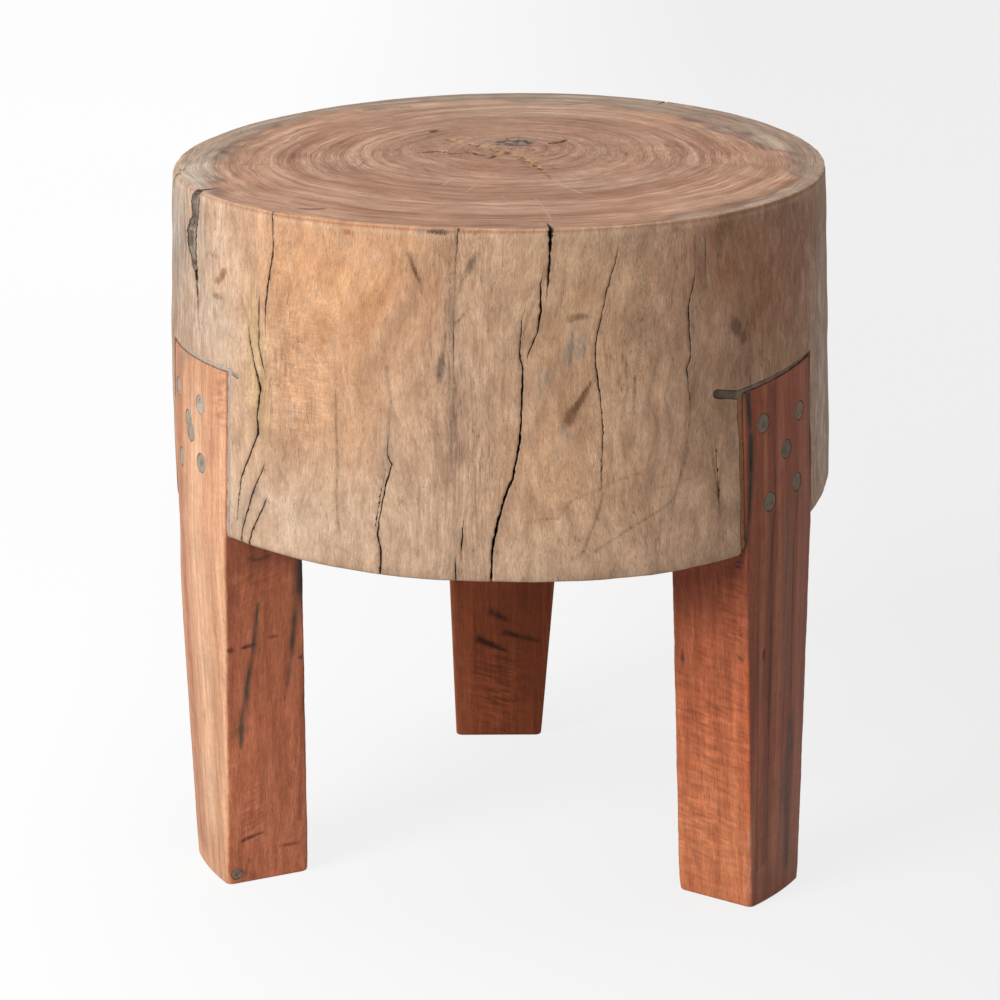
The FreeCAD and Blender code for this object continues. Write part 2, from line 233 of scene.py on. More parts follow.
def drum_side(rows):
    """Points of the drum's side, row by row: checks, worn edges and soft waves, and its swell and tuck."""
    turns, sinks = drum_columns(rows / log_height)
    heights = rows[:, None] + np.zeros_like(turns)
    angle = turn_from(np.degrees(turns), 0)
    on_left, low_right = angle % 360, hump(angle, -16, 13)
    low_ease = log_low_ease - front_ease_less * hump(angle, -90, 50, 4)
    low_reach, low_height = low_ease + low_right_draw * low_right, low_ease + low_right_rise * low_right
    rim = rim_ease + rim_wear * hump(on_left, 188, 24) + rim_play * np.clip(wander(angle, 37, 5), 0, 1)
    ease = low_reach * round_over(1 - heights / low_height)
    ease = ease + rim * round_over(1 - (log_height - heights) / rim)
    flat = log_round(turns, underside + heights).reshape(-1, 3)
    waves = 0.4 + 0.3 * mottle(flat, 46, 7) + 0.15 * mottle(flat, (17, 17, 60), 8)
    waves = np.clip(waves, 0.0, 1.2).reshape(turns.shape)
    swell = right_swell * hump(angle, -3, 24) + left_swell * hump(on_left, 184, 18)
    low_part = np.clip(1 - heights / (tuck_height_share * log_height), 0, 1)
    tuck = left_tuck * hump(on_left, 185, 13) * low_part ** 1.5
    side = log_round(turns, underside + heights, ease + waves - swell + tuck + sinks)
    lift = np.interp(side[:, :, 0], *zip(*low_edge))
    side[:, :, 2] += lift * (1 - heights / log_height) ** 2
    return side


def drum_mesh():
    """The drum as one closed grid: columns follow the checks down its side, its ends close on the pith."""
    middle_rows = np.arange(low_rows[-1] + row_pitch, log_height - rim_rows[0], row_pitch)
    rows = np.array([*low_rows, *middle_rows, *(log_height - row for row in rim_rows)])
    side = drum_side(rows)
    columns = side.shape[1]
    ids = np.arange(len(rows) * columns).reshape(len(rows), columns)
    points, faces = [side.reshape(-1, 3)], []

    def band(lower, upper):
        """Faces between two rings of points."""
        faces.extend(np.stack([lower, np.roll(lower, -1), np.roll(upper, -1), upper], 1).tolist())

    for lower, upper in zip(ids[:-1], ids[1:]):
        band(lower, upper)
    total = ids.size
    for is_top, rim_ids, steps, power in ((True, ids[-1], 84, 1.15), (False, ids[0], 14, 1.0)):
        ring = points[0][rim_ids]
        centre = np.array([*pith, ring[:, 2].mean()])
        before = rim_ids
        for share in (np.arange(1, steps) / steps)[::-1] ** power:
            points.append(centre + (ring - centre) * share)
            inner = np.arange(total, total + columns)
            total += columns
            band(*((before, inner) if is_top else (inner, before)))
            before = inner
        points.append(centre[None])
        fan = [before, np.roll(before, -1)] if is_top else [np.roll(before, -1), before]
        faces.extend(np.stack([*fan, np.full(columns, total)], 1).tolist())
        total += 1
    return np.concatenate(points), faces


def line_distance(points, line):
    """How far points of a plane lie from a line of several legs, and how far along it they are, 0 to 1."""
    line = np.asarray(line, float)
    best, along = np.full(len(points), 1e9), np.zeros(len(points))
    for i, (a, b) in enumerate(zip(line[:-1], line[1:])):
        step = b - a
        t = np.clip(((points - a) @ step) / (step @ step), 0, 1)
        gap = np.hypot(*(points - a - t[:, None] * step).T)
        near = gap < best
        best[near], along[near] = gap[near], (i + t[near]) / (len(line) - 1)
    return best, along


# Marks on the sanded top: a line on the plane, half its width, how deep it is, its colour and strength
# fissure_shade is near black: painted shade down the deepest fissures and check mouths of the top
fissure_shade, char, gold, bone = (0.016, 0.012, 0.011), (0.055, 0.038, 0.032), (0.43, 0.225, 0.10), (0.62, 0.47, 0.36)
dusk, brown_arc = (0.21, 0.15, 0.135), (0.27, 0.15, 0.10)
top_marks = [
    ([(0, 41), (6, 47), (11, 44), (16, 48), (21, 37)], 1.5, 0.7, char, 0.95),
    ([(-1, 33), (6, 36), (12, 30), (20, 31)], 1.2, 0.5, char, 0.85),
    ([(6, 53), (12, 57), (19, 52)], 1.1, 0.3, char, 0.7),
    ([(-32, 50), (-26.5, 39), (-19, 35), (-12, 27), (-5, 21), (3, 7)], 2.2, 1.0, gold, 0.95),
    ([(-2, 2), (2, 11), (6, 6), (15.6, -9.6), (20, -20), (23.6, -33), (27, -43)], 2.3, 1.0, gold, 0.95),
    ([(18, -16), (24, -37)], 5.2, 0.6, gold, 0.85),
    ([(27, -43), (29, -58), (33, -73)], 1.2, 0.3, gold, 0.8),
    ([(24, 0), (31, -3)], 1.5, 0.3, gold, 0.7),
    ([(29, -40), (38, -43)], 1.3, 0.3, gold, 0.7),
    ([(33, -73), (41, -97), (50, -115)], 0.8, 0.0, bone, 0.4),
    ([(50, -115), (65, -133), (99, -181)], 0.6, 0.0, bone, 0.15),
    ([(-52, 7), (-47, 8.5), (-41.5, 13), (-34.5, 9.6), (-29, 3), (-19, 8), (-8, -2.5)],
     1.1, 0.8, char, 0.95),
    ([(-46, 9), (-38, 12)], 1.8, 1.2, fissure_shade, 1.0),
    ([(34.5, 35.6), (40, 40), (43.6, 46.6)], 1.7, 1.5, fissure_shade, 1.0),
    ([(-5.3, -9.2), (-1.2, -2.6)], 1.5, 1.5, fissure_shade, 1.0),
    ([(-44, 75), (-41, 80.5)], 1.8, 0.6, fissure_shade, 0.9),
    ([(-203, -49), (-195.6, -36)], 1.8, 1.5, fissure_shade, 1.0),
    ([(-199, -40), (-186, -34), (-174, -29)], 1.3, 0.7, fissure_shade, 0.9),
    ([(-178, -29), (-160, -27), (-140, -26)], 0.5, 0.2, char, 0.5),
    ([(-191, 44), (-186, 37.5)], 0.8, 0.5, char, 0.9),
    ([(-180.5, -92.5), (-172, -95.5)], 0.9, 0.5, char, 0.9),
    ([(81, -2), (82, 7)], 0.8, 0.3, char, 0.8),
    ([(-88, -36), (-86, -27), (-85, -17.5)], 0.8, 0.3, char, 0.8),
    ([(58, -24), (66, -24), (74, -19)], 0.9, 0.0, brown_arc, 0.7),
    ([(98, 9), (106, 10), (118, 10)], 0.9, 0.0, brown_arc, 0.7),
    ([(126, -28), (147, -34), (161, -32)], 0.9, 0.0, brown_arc, 0.7),
    ([(47, 166), (57, 170), (63, 172)], 2.2, 0.0, dusk, 0.7),
    ([(129, 128), (140, 131)], 2.4, 0.0, dusk, 0.7),
    ([(-90, 150), (-71, 159), (-62, 159)], 2.4, 0.0, dusk, 0.6),
    ([(-178, 18), (-168, 28)], 3.5, 0.0, dusk, 0.7),
    ([(-167, 77), (-154, 99), (-133, 110)], 3.0, 0.0, dusk, 0.5),
    ([(-118, -153.5), (-112, -155), (-105, -155)], 2.2, 0.0, (0.11, 0.075, 0.085), 0.75),
    ([(131, 163), (128, 157)], 0.9, 0.5, char, 0.9),
    ([(-20, -110), (-15, -93)], 0.5, 0.0, bone, 0.6),
    ([(-34, -90), (-30, -75), (-26, -71)], 0.5, 0.0, bone, 0.6),
    ([(-8, -78), (-1.7, -76)], 0.5, 0.0, bone, 0.6),
    ([(22, -128), (26, -150), (31, -190)], 0.6, 0.0, bone, 0.3),
    ([(2, -120), (12, -160)], 0.5, 0.0, bone, 0.2),
    ([(-25, -190), (-23, -214)], 0.8, 0.2, char, 0.6),
    ([(24, -196), (33, -205)], 2.4, 0.3, bone, 0.7),
    ([(-49, -31), (-43, -52), (-30, -61)], 0.8, 0.0, char, 0.5),
    ([(64, 45), (71, 13), (67, -18)], 0.9, 0.0, char, 0.35),
]

# Where the pale sapwood begins on the top, as points of the plane
sapwood_edge = np.array([
    (-161, -135), (-172.5, -92.5), (-175, -67.5), (-176, -22), (-169, 31.5), (-152, 88), (-122.5, 132),
    (-79.5, 161.5), (-35.5, 178), (-5.5, 182), (42, 170.5), (71.5, 158), (117.5, 126.5), (141.5, 89),
    (160, 45.5), (175, -9.5), (183, -55.5), (179.5, -87), (161, -117.5), (126, -158), (96.5, -186),
    (40, -214), (0, -216), (-50, -212), (-104, -188),
])

# Soft weathering on the side: angle, height share, reaches across and up, lean to the right, colour, strength
tan_wood, warm_wood = (0.545, 0.37, 0.255), (0.59, 0.32, 0.168)
weathering = [
    (-122, 0.84, 70, 40, 0, warm_wood, 0.85), (-112, 0.78, 60, 46, 0, warm_wood, 0.8),
    (-124, 0.56, 36, 46, 0, (0.525, 0.295, 0.163), 0.7), (-116, 0.42, 26, 26, 0, warm_wood, 0.45),
    (-143, 0.88, 22, 30, 0, (0.66, 0.485, 0.365), 0.65),
    (-104, 0.62, 16, 34, 0.5, (0.46, 0.29, 0.19), 0.45),
    (-107.7, 0.73, 6, 54, 0.6, (0.35, 0.215, 0.135), 0.65),
    (-137.3, 0.87, 6, 15, -0.6, (0.37, 0.225, 0.14), 0.6),
    (-145, 0.62, 24, 22, 0, (0.58, 0.48, 0.385), 0.65), (-134.5, 0.55, 7, 36, 0, (0.50, 0.36, 0.19), 0.6),
    (-135.6, 0.66, 4, 16, 0, (0.48, 0.35, 0.17), 0.55), (-133.6, 0.42, 5, 20, 0, (0.49, 0.355, 0.19), 0.5),
    (-164, 0.85, 30, 50, 0, (0.43, 0.38, 0.33), 0.9), (-150.5, 0.85, 9, 44, 0, (0.50, 0.42, 0.34), 0.5),
    (-125, 0.12, 60, 20, 0, (0.57, 0.43, 0.325), 0.6), (-100, 0.2, 50, 40, 0, (0.52, 0.37, 0.26), 0.4),
    (-96, 0.5, 26, 60, 0, (0.42, 0.285, 0.205), 0.5), (-75, 0.72, 34, 46, 0, (0.535, 0.32, 0.18), 0.6),
    (-78, 0.6, 22, 26, 0, (0.50, 0.30, 0.18), 0.55), (-80, 0.46, 16, 14, 0, (0.46, 0.265, 0.155), 0.5),
    (-84, 0.3, 26, 22, 0, (0.60, 0.365, 0.205), 0.55), (-72, 0.3, 60, 26, 0, (0.65, 0.39, 0.24), 0.6),
    (-66, 0.55, 40, 60, 0, (0.58, 0.37, 0.24), 0.5), (-50, 0.9, 40, 30, 0, (0.435, 0.21, 0.122), 0.75),
    (-42, 0.72, 40, 50, 0, (0.455, 0.225, 0.137), 0.75), (-32, 0.85, 30, 40, 0, (0.41, 0.215, 0.15), 0.75),
    (-18, 0.72, 16, 60, 0, (0.50, 0.36, 0.30), 0.7), (-20, 0.3, 16, 60, 0, (0.66, 0.53, 0.47), 0.85),
    (-60, 0.12, 44, 20, 0, (0.70, 0.445, 0.295), 0.65), (-98.2, 0.75, 5, 40, 0, (0.37, 0.25, 0.175), 0.6),
    (-98, 0.4, 4, 50, 0, (0.40, 0.28, 0.195), 0.5), (-90, 0.75, 18, 24, 0, (0.45, 0.30, 0.2), 0.5),
    (-93, 0.9, 14, 16, 0, (0.46, 0.31, 0.21), 0.5), (-58.6, 0.55, 3.5, 40, 0, (0.36, 0.225, 0.15), 0.5),
    (-57, 0.9, 5, 14, 0, (0.30, 0.18, 0.125), 0.6), (-70, 0.96, 30, 6, 0, (0.48, 0.32, 0.215), 0.5),
    (-69, 0.72, 8, 8, 0, (0.38, 0.25, 0.165), 0.6), (-47, 0.96, 20, 8, 0, (0.35, 0.20, 0.14), 0.5),
    (-33, 0.93, 10, 8, 0, (0.31, 0.19, 0.14), 0.6), (-117.8, 0.3, 2.6, 44, 0, (0.40, 0.26, 0.17), 0.55),
    (-109, 0.35, 5, 16, 0, (0.36, 0.265, 0.2), 0.6), (-92.2, 0.32, 3, 12, 0, (0.42, 0.29, 0.2), 0.4),
    (-66, 0.3, 3, 16, 0.4, (0.38, 0.255, 0.175), 0.5), (-63, 0.2, 3, 14, 0.5, (0.36, 0.24, 0.165), 0.5),
    (-137, 0.1, 6, 12, 0.4, (0.42, 0.33, 0.24), 0.6), (-53.5, 0.14, 4, 8, 0, (0.36, 0.225, 0.155), 0.6),
    (-52, 0.67, 6, 7, 0, (0.30, 0.185, 0.135), 0.4), (-48, 0.3, 8, 40, 0, (0.42, 0.265, 0.195), 0.5),
    (-108, 0.93, 30, 9, 0, (0.55, 0.34, 0.2), 0.4), (20, 0.55, 50, 60, 0, (0.47, 0.31, 0.21), 0.6),
    (60, 0.8, 50, 40, 0, warm_wood, 0.5), (60, 0.5, 8, 40, 0, (0.36, 0.25, 0.18), 0.5),
    (125, 0.6, 60, 70, 0, (0.48, 0.34, 0.24), 0.6), (150, 0.3, 50, 40, 0, (0.56, 0.42, 0.31), 0.6),
    (165, 0.8, 50, 40, 0, (0.48, 0.39, 0.31), 0.6),
]

# Sharper stains, bruises and smears on the side, given in the same way
umber, grey_wood, rust = (0.17, 0.10, 0.06), (0.33, 0.285, 0.235), (0.38, 0.15, 0.075)
stains = [
    (-104.6, 0.882, 1.5, 9.0, -0.40, (0.11, 0.06, 0.038), 0.95), (-105.5, 0.922, 2.4, 2.0, 0, umber, 0.6),
    (-95.6, 0.895, 2.2, 7.5, 0.45, (0.20, 0.145, 0.105), 0.8),
    (-100.3, 0.61, 2.4, 10.5, 0.1, (0.16, 0.115, 0.088), 0.9), (-78, 0.752, 6.5, 2.2, 0, umber, 0.75),
    (-79.4, 0.748, 3, 2.2, 0, umber, 0.6), (-79.4, 0.665, 1.6, 11, 0.1, (0.25, 0.215, 0.18), 0.85),
    (-78.1, 0.67, 1.1, 9, 0.1, grey_wood, 0.9), (-77.2, 0.68, 1.0, 10, 0.1, (0.27, 0.23, 0.19), 0.8),
    (-80.4, 0.64, 0.9, 8, 0.1, grey_wood, 0.7), (-83.4, 0.58, 1.4, 8, 0.3, (0.28, 0.235, 0.185), 0.8),
    (-82.2, 0.595, 1.1, 7, 0.3, grey_wood, 0.8), (-84.4, 0.575, 0.9, 6, 0.2, (0.30, 0.24, 0.18), 0.7),
    (-78.1, 0.51, 2.6, 13, 0.62, (0.20, 0.105, 0.055), 0.95),
    (-79.6, 0.47, 4.2, 6.5, 0.3, (0.235, 0.12, 0.065), 0.85), (-80.9, 0.435, 1.1, 6, 0, grey_wood, 0.7),
    (-79.9, 0.415, 1.0, 5, 0, grey_wood, 0.8), (-84, 0.48, 4, 7, 0.2, (0.38, 0.215, 0.12), 0.6),
    (-49.9, 0.67, 4.6, 7.0, -0.3, (0.17, 0.095, 0.062), 0.85),
    (-48.2, 0.635, 2.6, 4.5, 0, (0.2, 0.115, 0.078), 0.75), (-116.2, 0.972, 2.6, 1.9, 0, rust, 0.85),
    (-115.2, 0.966, 1.2, 1.6, 0, rust, 0.7), (-146.2, 0.832, 6.5, 0.9, 0.0, umber, 0.85),
    (-143.3, 0.785, 3.4, 4.4, 0.5, (0.27, 0.135, 0.072), 0.85),
    (-144.8, 0.762, 4.0, 2.6, 0.5, (0.30, 0.155, 0.085), 0.8),
    (-144.8, 0.716, 6.0, 1.9, 0.3, (0.30, 0.16, 0.092), 0.8),
    (-145.7, 0.66, 2.6, 5, 0, (0.36, 0.215, 0.135), 0.7),
    (-100.6, 0.989, 7.5, 1.5, 0, (0.09, 0.072, 0.065), 0.95), (-103.4, 0.987, 3.5, 1.2, 0, grey_wood, 0.7),
    (-54.8, 0.28, 1.0, 13, -0.12, (0.23, 0.105, 0.045), 0.85),
    (-53.6, 0.24, 0.8, 9, 0.1, (0.23, 0.11, 0.05), 0.75),
    (-54.0, 0.205, 1.8, 6, 0, (0.20, 0.095, 0.045), 0.9), (-61.5, 0.975, 2, 1.8, 0, rust, 0.7),
    (-124.4, 0.215, 2.5, 2.5, 0, (0.42, 0.30, 0.21), 0.5),
    (-98.2, 0.455, 2.6, 2.2, 0, (0.25, 0.19, 0.14), 0.7),
    (-137.4, 0.085, 1.6, 4.5, 0, (0.35, 0.28, 0.2), 0.6), (-68, 0.735, 2.2, 1.6, 0, umber, 0.5),
    (178, 0.5, 2.4, 14, 0.2, umber, 0.7), (30, 0.75, 2.4, 10, -0.2, umber, 0.8),
    (112, 0.4, 3, 7, 0, umber, 0.7),
]

# Lines of the growth that show on the side: points as angle and height share, half a width, colour, strength
bark_brown, nut_brown = (0.20, 0.125, 0.08), (0.31, 0.195, 0.125)
grain_lines = [
    ([(-76.9, 0.068), (-74, 0.097), (-69.8, 0.139), (-65, 0.178), (-62.5, 0.204), (-61, 0.266),
     (-59.6, 0.344)], 0.7, bark_brown, 0.6),
    ([(-77.6, 0.077), (-76.5, 0.133), (-75.1, 0.196), (-74.4, 0.248)], 0.9, bark_brown, 0.6),
    ([(-86.7, 0.173), (-81.6, 0.182), (-79.4, 0.23), (-75.7, 0.254), (-71.6, 0.281), (-67.4, 0.299)],
     0.8, nut_brown, 0.6),
    ([(-65, 0.243), (-61, 0.25), (-57.8, 0.265)], 0.7, nut_brown, 0.6),
    ([(-70.8, 0.633), (-70.3, 0.581)], 0.9, bark_brown, 0.8),
    ([(-68.9, 0.574), (-69.2, 0.467)], 0.7, bark_brown, 0.7),
    ([(-65.7, 0.736), (-64.8, 0.623), (-66.8, 0.507), (-64.9, 0.414), (-66.9, 0.321), (-67.4, 0.281)],
     0.7, nut_brown, 0.6),
    ([(-63.8, 0.701), (-62.3, 0.602), (-63.9, 0.5), (-62.4, 0.417), (-63.4, 0.329), (-64, 0.282)],
     0.7, nut_brown, 0.6),
    ([(-69.3, 0.813), (-67.9, 0.708), (-68.7, 0.582)], 0.7, nut_brown, 0.55),
    ([(-71.5, 0.642), (-70.1, 0.552), (-71.6, 0.426), (-70.7, 0.344)], 0.7, nut_brown, 0.6),
    ([(-81.8, 0.966), (-83.6, 0.865), (-86.3, 0.757), (-87.2, 0.693)], 1.0, nut_brown, 0.6),
    ([(-80.5, 0.856), (-80.9, 0.786), (-79.6, 0.754)], 0.7, nut_brown, 0.5),
    ([(-95.6, 0.779), (-97.6, 0.739)], 0.6, (0.13, 0.085, 0.06), 0.85),
    ([(-99.6, 0.8), (-99.5, 0.722), (-99.7, 0.651)], 0.7, bark_brown, 0.6),
    ([(-43.3, 0.643), (-43.7, 0.571)], 0.6, (0.12, 0.075, 0.055), 0.8),
    ([(-53.5, 0.884), (-52.9, 0.88)], 0.9, (0.14, 0.08, 0.055), 0.7),
    ([(-148.6, 0.98), (-148.9, 0.9), (-148.4, 0.78)], 0.5, bark_brown, 0.7),
    ([(-167.2, 0.962), (-166.6, 1.0)], 1.3, (0.03, 0.022, 0.018), 1.0),
    ([(-96.9, 0.86), (-98.6, 0.74), (-98.4, 0.66)], 0.5, bark_brown, 0.8),
    ([(-97.2, 0.62), (-97.9, 0.52), (-97.4, 0.44)], 0.5, bark_brown, 0.7),
    ([(-138.3, 0.742), (-136.1, 0.668), (-136.4, 0.618), (-134.7, 0.541)], 0.6, (0.30, 0.215, 0.095), 0.7),
    ([(-128.6, 0.665), (-128, 0.512), (-128, 0.431)], 0.9, (0.47, 0.28, 0.165), 0.55),
    ([(-123.2, 0.719), (-122.9, 0.526), (-123.2, 0.46), (-124.6, 0.375)], 0.9, (0.47, 0.28, 0.165), 0.55),
    ([(-118.7, 0.664), (-118.4, 0.536)], 0.6, nut_brown, 0.5),
    ([(-118.4, 0.52), (-118.2, 0.415), (-118.1, 0.293), (-118.2, 0.211), (-117.6, 0.1)],
     0.7, bark_brown, 0.8),
    ([(-109.4, 0.6), (-108.6, 0.505), (-109, 0.424), (-109.2, 0.36)], 0.9, (0.24, 0.17, 0.12), 0.75),
    ([(-98.7, 0.95), (-98.9, 0.817), (-98.9, 0.707), (-98.9, 0.58), (-98.7, 0.484), (-98.6, 0.283)],
     0.6, bark_brown, 0.75),
    ([(-97.8, 0.92), (-98, 0.83), (-98.2, 0.7), (-98.2, 0.5), (-98.0, 0.4)], 0.6, bark_brown, 0.7),
    ([(-59.1, 0.5), (-59.6, 0.4), (-60.7, 0.301), (-62.9, 0.17)], 0.6, bark_brown, 0.7),
    ([(-58.2, 0.95), (-58.1, 0.85)], 0.6, bark_brown, 0.7),
    ([(-56, 0.96), (-56.2, 0.8)], 0.6, bark_brown, 0.6),
    ([(-74.4, 0.4), (-74.7, 0.25)], 0.6, bark_brown, 0.7),
    ([(-131.5, 0.296), (-127.9, 0.225), (-125.1, 0.126)], 0.9, (0.42, 0.29, 0.20), 0.6),
    ([(-121.8, 0.275), (-124.5, 0.194), (-125.1, 0.142)], 0.9, (0.42, 0.29, 0.20), 0.6),
    ([(-114, 0.36), (-113.4, 0.24), (-114.2, 0.1)], 0.8, (0.42, 0.29, 0.20), 0.5),
    ([(-104.5, 0.4), (-103.8, 0.25), (-104.4, 0.08)], 0.8, (0.38, 0.26, 0.18), 0.5),
    ([(-101, 0.5), (-101.4, 0.3), (-100.8, 0.1)], 0.6, nut_brown, 0.5),
    ([(-94, 0.62), (-94.3, 0.4)], 0.6, nut_brown, 0.55),
    ([(-91.5, 0.7), (-91.9, 0.5), (-92.6, 0.36)], 0.6, nut_brown, 0.5),
    ([(-95, 0.46), (-95.2, 0.24)], 0.6, nut_brown, 0.5),
]

# Ovals of figure on the side, where the saw and the wind have cut across the growth: angle, height, reaches
figure_ovals = [
    (-122.5, 0.5, 30, 62), (-97, 0.35, 26, 60), (-74, 0.42, 36, 50), (-60, 0.62, 20, 70),
    (-45, 0.4, 26, 60), (-146, 0.6, 18, 50), (10, 0.45, 40, 70), (50, 0.6, 34, 60), (120, 0.5, 44, 66),
    (165, 0.45, 36, 60),
]


def blend_in(colours, weights, colour):
    """Colours drawn towards another by weights between 0 and 1."""
    weights = np.clip(weights, 0, 1)[:, None]
    return colours * (1 - weights) + np.asarray(colour) * weights


def put_mark(marks, base, inside, size, colour, strength):
    """Lays one mark over the others, from how far inside its edge each point is."""
    share = np.clip(0.5 + inside / (2 * max(0.6 * size, 1.5)), 0, 1)
    over = share > marks[:, 3]
    marks[over, :3] = base[over] * (1 - strength) + np.broadcast_to(colour, base.shape)[over] * strength
    marks[over, 3] = share[over]


def side_tones(points):
    """The drum's side: its colour before the grain, the sharper marks over it, and its checks, painted dark
    as shade.
    """
    angle, share, _ = log_place(points)
    colours = np.tile(tan_wood, (len(points), 1))
    ragged = 1 + 0.3 * mottle(points, (9, 9, 26), 21) + 0.2 * mottle(points, (4, 4, 13), 22)
    ragged = np.clip(ragged, 0.4, 1.5)

    def reach_from(at, height, across, rise, lean):
        """How far points lie from a place on the side, in shares of its reaches."""
        v = (share - height) * log_height
        u = turn_from(angle, at) * degree_length - lean * v
        return np.hypot(u / across, v / rise)

    for *place, colour, strength in weathering:
        colours = blend_in(colours, strength * np.exp(-(reach_from(*place) * 0.8) ** 1.7) * ragged, colour)
    from_rim = points[:, 2] - overall_height
    colours = blend_in(colours, 0.3 * hump(from_rim, -3.8, 1.4) * ragged, (0.68, 0.50, 0.37))
    rim_line = hump(from_rim, -1.4, 0.8) * (share > 0.9) * (0.35 + 0.4 * hump(angle, -112, 32, 4))
    colours = blend_in(colours, rim_line, (0.42, 0.185, 0.095))
    low_line = hump(share * log_height, 1.5, 3.0)
    colours = blend_in(colours, 0.3 * low_line * ragged, (0.33, 0.23, 0.165))
    # split marks how far into a check each point lies; the finish paints it near black as shade in the crack
    split = np.zeros(len(points))
    for k in range(len(checks)):
        at, half_width = check_at(k, share)
        gap = np.abs(turn_from(angle, at)) * degree_length
        halo = hump(gap, 0, half_width * 2.0 + 1.0) * np.clip(half_width / 0.4, 0, 1)
        colours = blend_in(colours, 0.45 * halo * ragged, (0.25, 0.165, 0.11))
        in_share = gap / (half_width + 1e-6)
        torn = np.clip(half_width / 1.5 - 1, 0, 1) * np.clip(3 - 2 * in_share, 0, 1)
        split = np.maximum(split, np.clip(1.5 - in_share, 0, 1) * (half_width > 0.06) + torn)
    marks = np.zeros((len(points), 4))
    for *place, colour, strength in stains:
        size = min(place[2:4])
        put_mark(marks, colours, (1 - reach_from(*place)) * size, size, colour, strength)
    unrolled = np.column_stack([angle * degree_length, share * log_height])
    for line, half_width, colour, strength in grain_lines:
        gap, _ = line_distance(unrolled, np.array(line) * (degree_length, log_height))
        put_mark(marks, colours, half_width - gap, half_width, colour, strength)
    return colours, marks, split


def side_figure(angle, share):
    """How near points of the side lie to the middle of an oval of figure."""
    figure = np.zeros(len(angle))
    for at, height, across, rise in figure_ovals:
        u, v = turn_from(angle, at) * degree_length / across, (share - height) * log_height / rise
        figure = np.maximum(figure, np.exp(-0.5 * (u ** 2 + v ** 2)))
    return figure


def side_wear(angle, share):
    """How streaky the weathered side is, and how strongly its grain is rippled."""
    smooth = np.exp(-(((angle + 118) / 16) ** 2 + ((share - 0.75) / 0.3) ** 2))
    worn = 0.22 + 0.78 * hump(angle, -162, 13, 4) + 0.4 * hump(angle, -97, 6)
    worn = worn + 0.3 * hump(angle, -22, 14) - 0.2 * smooth
    rippled = np.exp(-(((angle + 126) / 8) ** 2 + ((share - 0.55) / 0.22) ** 2) ** 2)
    return np.clip(worn, 0, 1), rippled


def edge_reach(plane, edge):
    """How far out a closed edge round the origin lies, in the direction of each point of the plane."""
    turn = np.arctan2(*edge.T[::-1])
    order = np.argsort(turn)
    return np.interp(np.arctan2(*plane.T[::-1]), turn[order], np.hypot(*edge.T)[order], period=2 * math.pi)


def heart_patch(plane, reaches, power):
    """A soft patch over the decayed heart of the top."""
    return np.exp(-(((plane - decayed_heart) / reaches) ** 2).sum(1) ** power)


def top_tones(points):
    """The sanded top: its colour before the rings, the marks over it, and its growth from pith to bark."""
    plane = points[:, :2]
    x, y = plane.T
    flat = np.column_stack([plane, np.zeros(len(plane))])
    edge = log_round(np.linspace(-math.pi, math.pi, 361)[:-1], overall_height)[:, :2]
    growth = np.hypot(*(plane - pith).T) / edge_reach(plane - pith, edge - pith)
    beyond = np.hypot(x, y) - edge_reach(plane, sapwood_edge) + 5 * mottle(flat, 38, 31)
    colours = np.tile((0.464, 0.284, 0.199), (len(points), 1))
    colours = blend_in(colours, 0.5 + 0.5 * mottle(flat, 90, 32), (0.449, 0.258, 0.178))
    colours = blend_in(colours, 0.4 * mottle(flat, 38, 33), (0.40, 0.216, 0.148))
    brighter = 0.93 + 0.16 * ramp(np.abs(x), 40, 140) + 0.16 * ramp(y, 40, 150)
    colours = colours * (brighter + 0.06 * ramp(-y, 60, 90))[:, None]
    back = ramp(y, 80, 70)
    pale_back = 0.65 * back * np.clip(1.3 - np.abs(x - 10) / 120, 0, 1)
    colours = blend_in(colours, pale_back, (0.53, 0.375, 0.285))
    sapwood = (0.42, 0.325, 0.257) * (1 - 0.12 * back[:, None])
    colours = blend_in(colours, ramp(beyond, 0, 5) * 0.9, sapwood)
    sap_line = hump(beyond, 2, 5) * (0.55 + 0.35 * mottle(flat, 40, 38)) * (1 - 0.45 * back)
    colours = blend_in(colours, sap_line, (0.24, 0.15, 0.125))
    colours = blend_in(colours, hump(beyond, -9, 5) * 0.5, (0.53, 0.35, 0.235))
    left_wear = ramp(-x, 174, 10) * (1 - ramp(y, -30, 12))
    colours = blend_in(colours, left_wear * 0.85, (0.55, 0.455, 0.365))
    decayed = heart_patch(plane, (15, 17), 1.5) * (0.75 + 0.3 * mottle(flat, 7, 34))
    colours = blend_in(colours, decayed, (0.22, 0.175, 0.155))
    marks = np.zeros((len(points), 4))
    for line, half_width, _, colour, strength in top_marks:
        gap, _ = line_distance(plane, line)
        gap = gap + 0.3 * half_width * mottle(flat, 5, 36)
        if colour is gold:
            colour = blend_in(np.tile(gold, (len(flat), 1)), 1.7 * mottle(flat, 5, 35) - 0.2, char)
        put_mark(marks, colours, half_width - gap, half_width, colour, strength)
    return colours, marks, growth


def top_sink(plane):
    """How far the top lies below its sanded plane, in its fissures and at the decayed heart."""
    flat = np.column_stack([plane, np.zeros(len(plane))])
    sink = heart_patch(plane, (13, 15), 2) * (0.5 + 0.35 * mottle(flat, 6, 37))
    for line, half_width, depth, *_ in top_marks:
        gap, _ = line_distance(plane, line)
        sink = np.maximum(sink, depth * np.clip(1.4 - gap / half_width, 0, 1))
    return np.clip(sink, 0, None)


def new_piece(name, points, faces):
    """A mesh object from points in millimetres."""
    mesh = bpy.data.meshes.new(name)
    mesh.from_pydata((np.asarray(points) * 0.001).tolist(), [], faces)
    mesh.validate()
    piece = bpy.data.objects.new(name, mesh)
    bpy.context.scene.collection.objects.link(piece)
    return piece


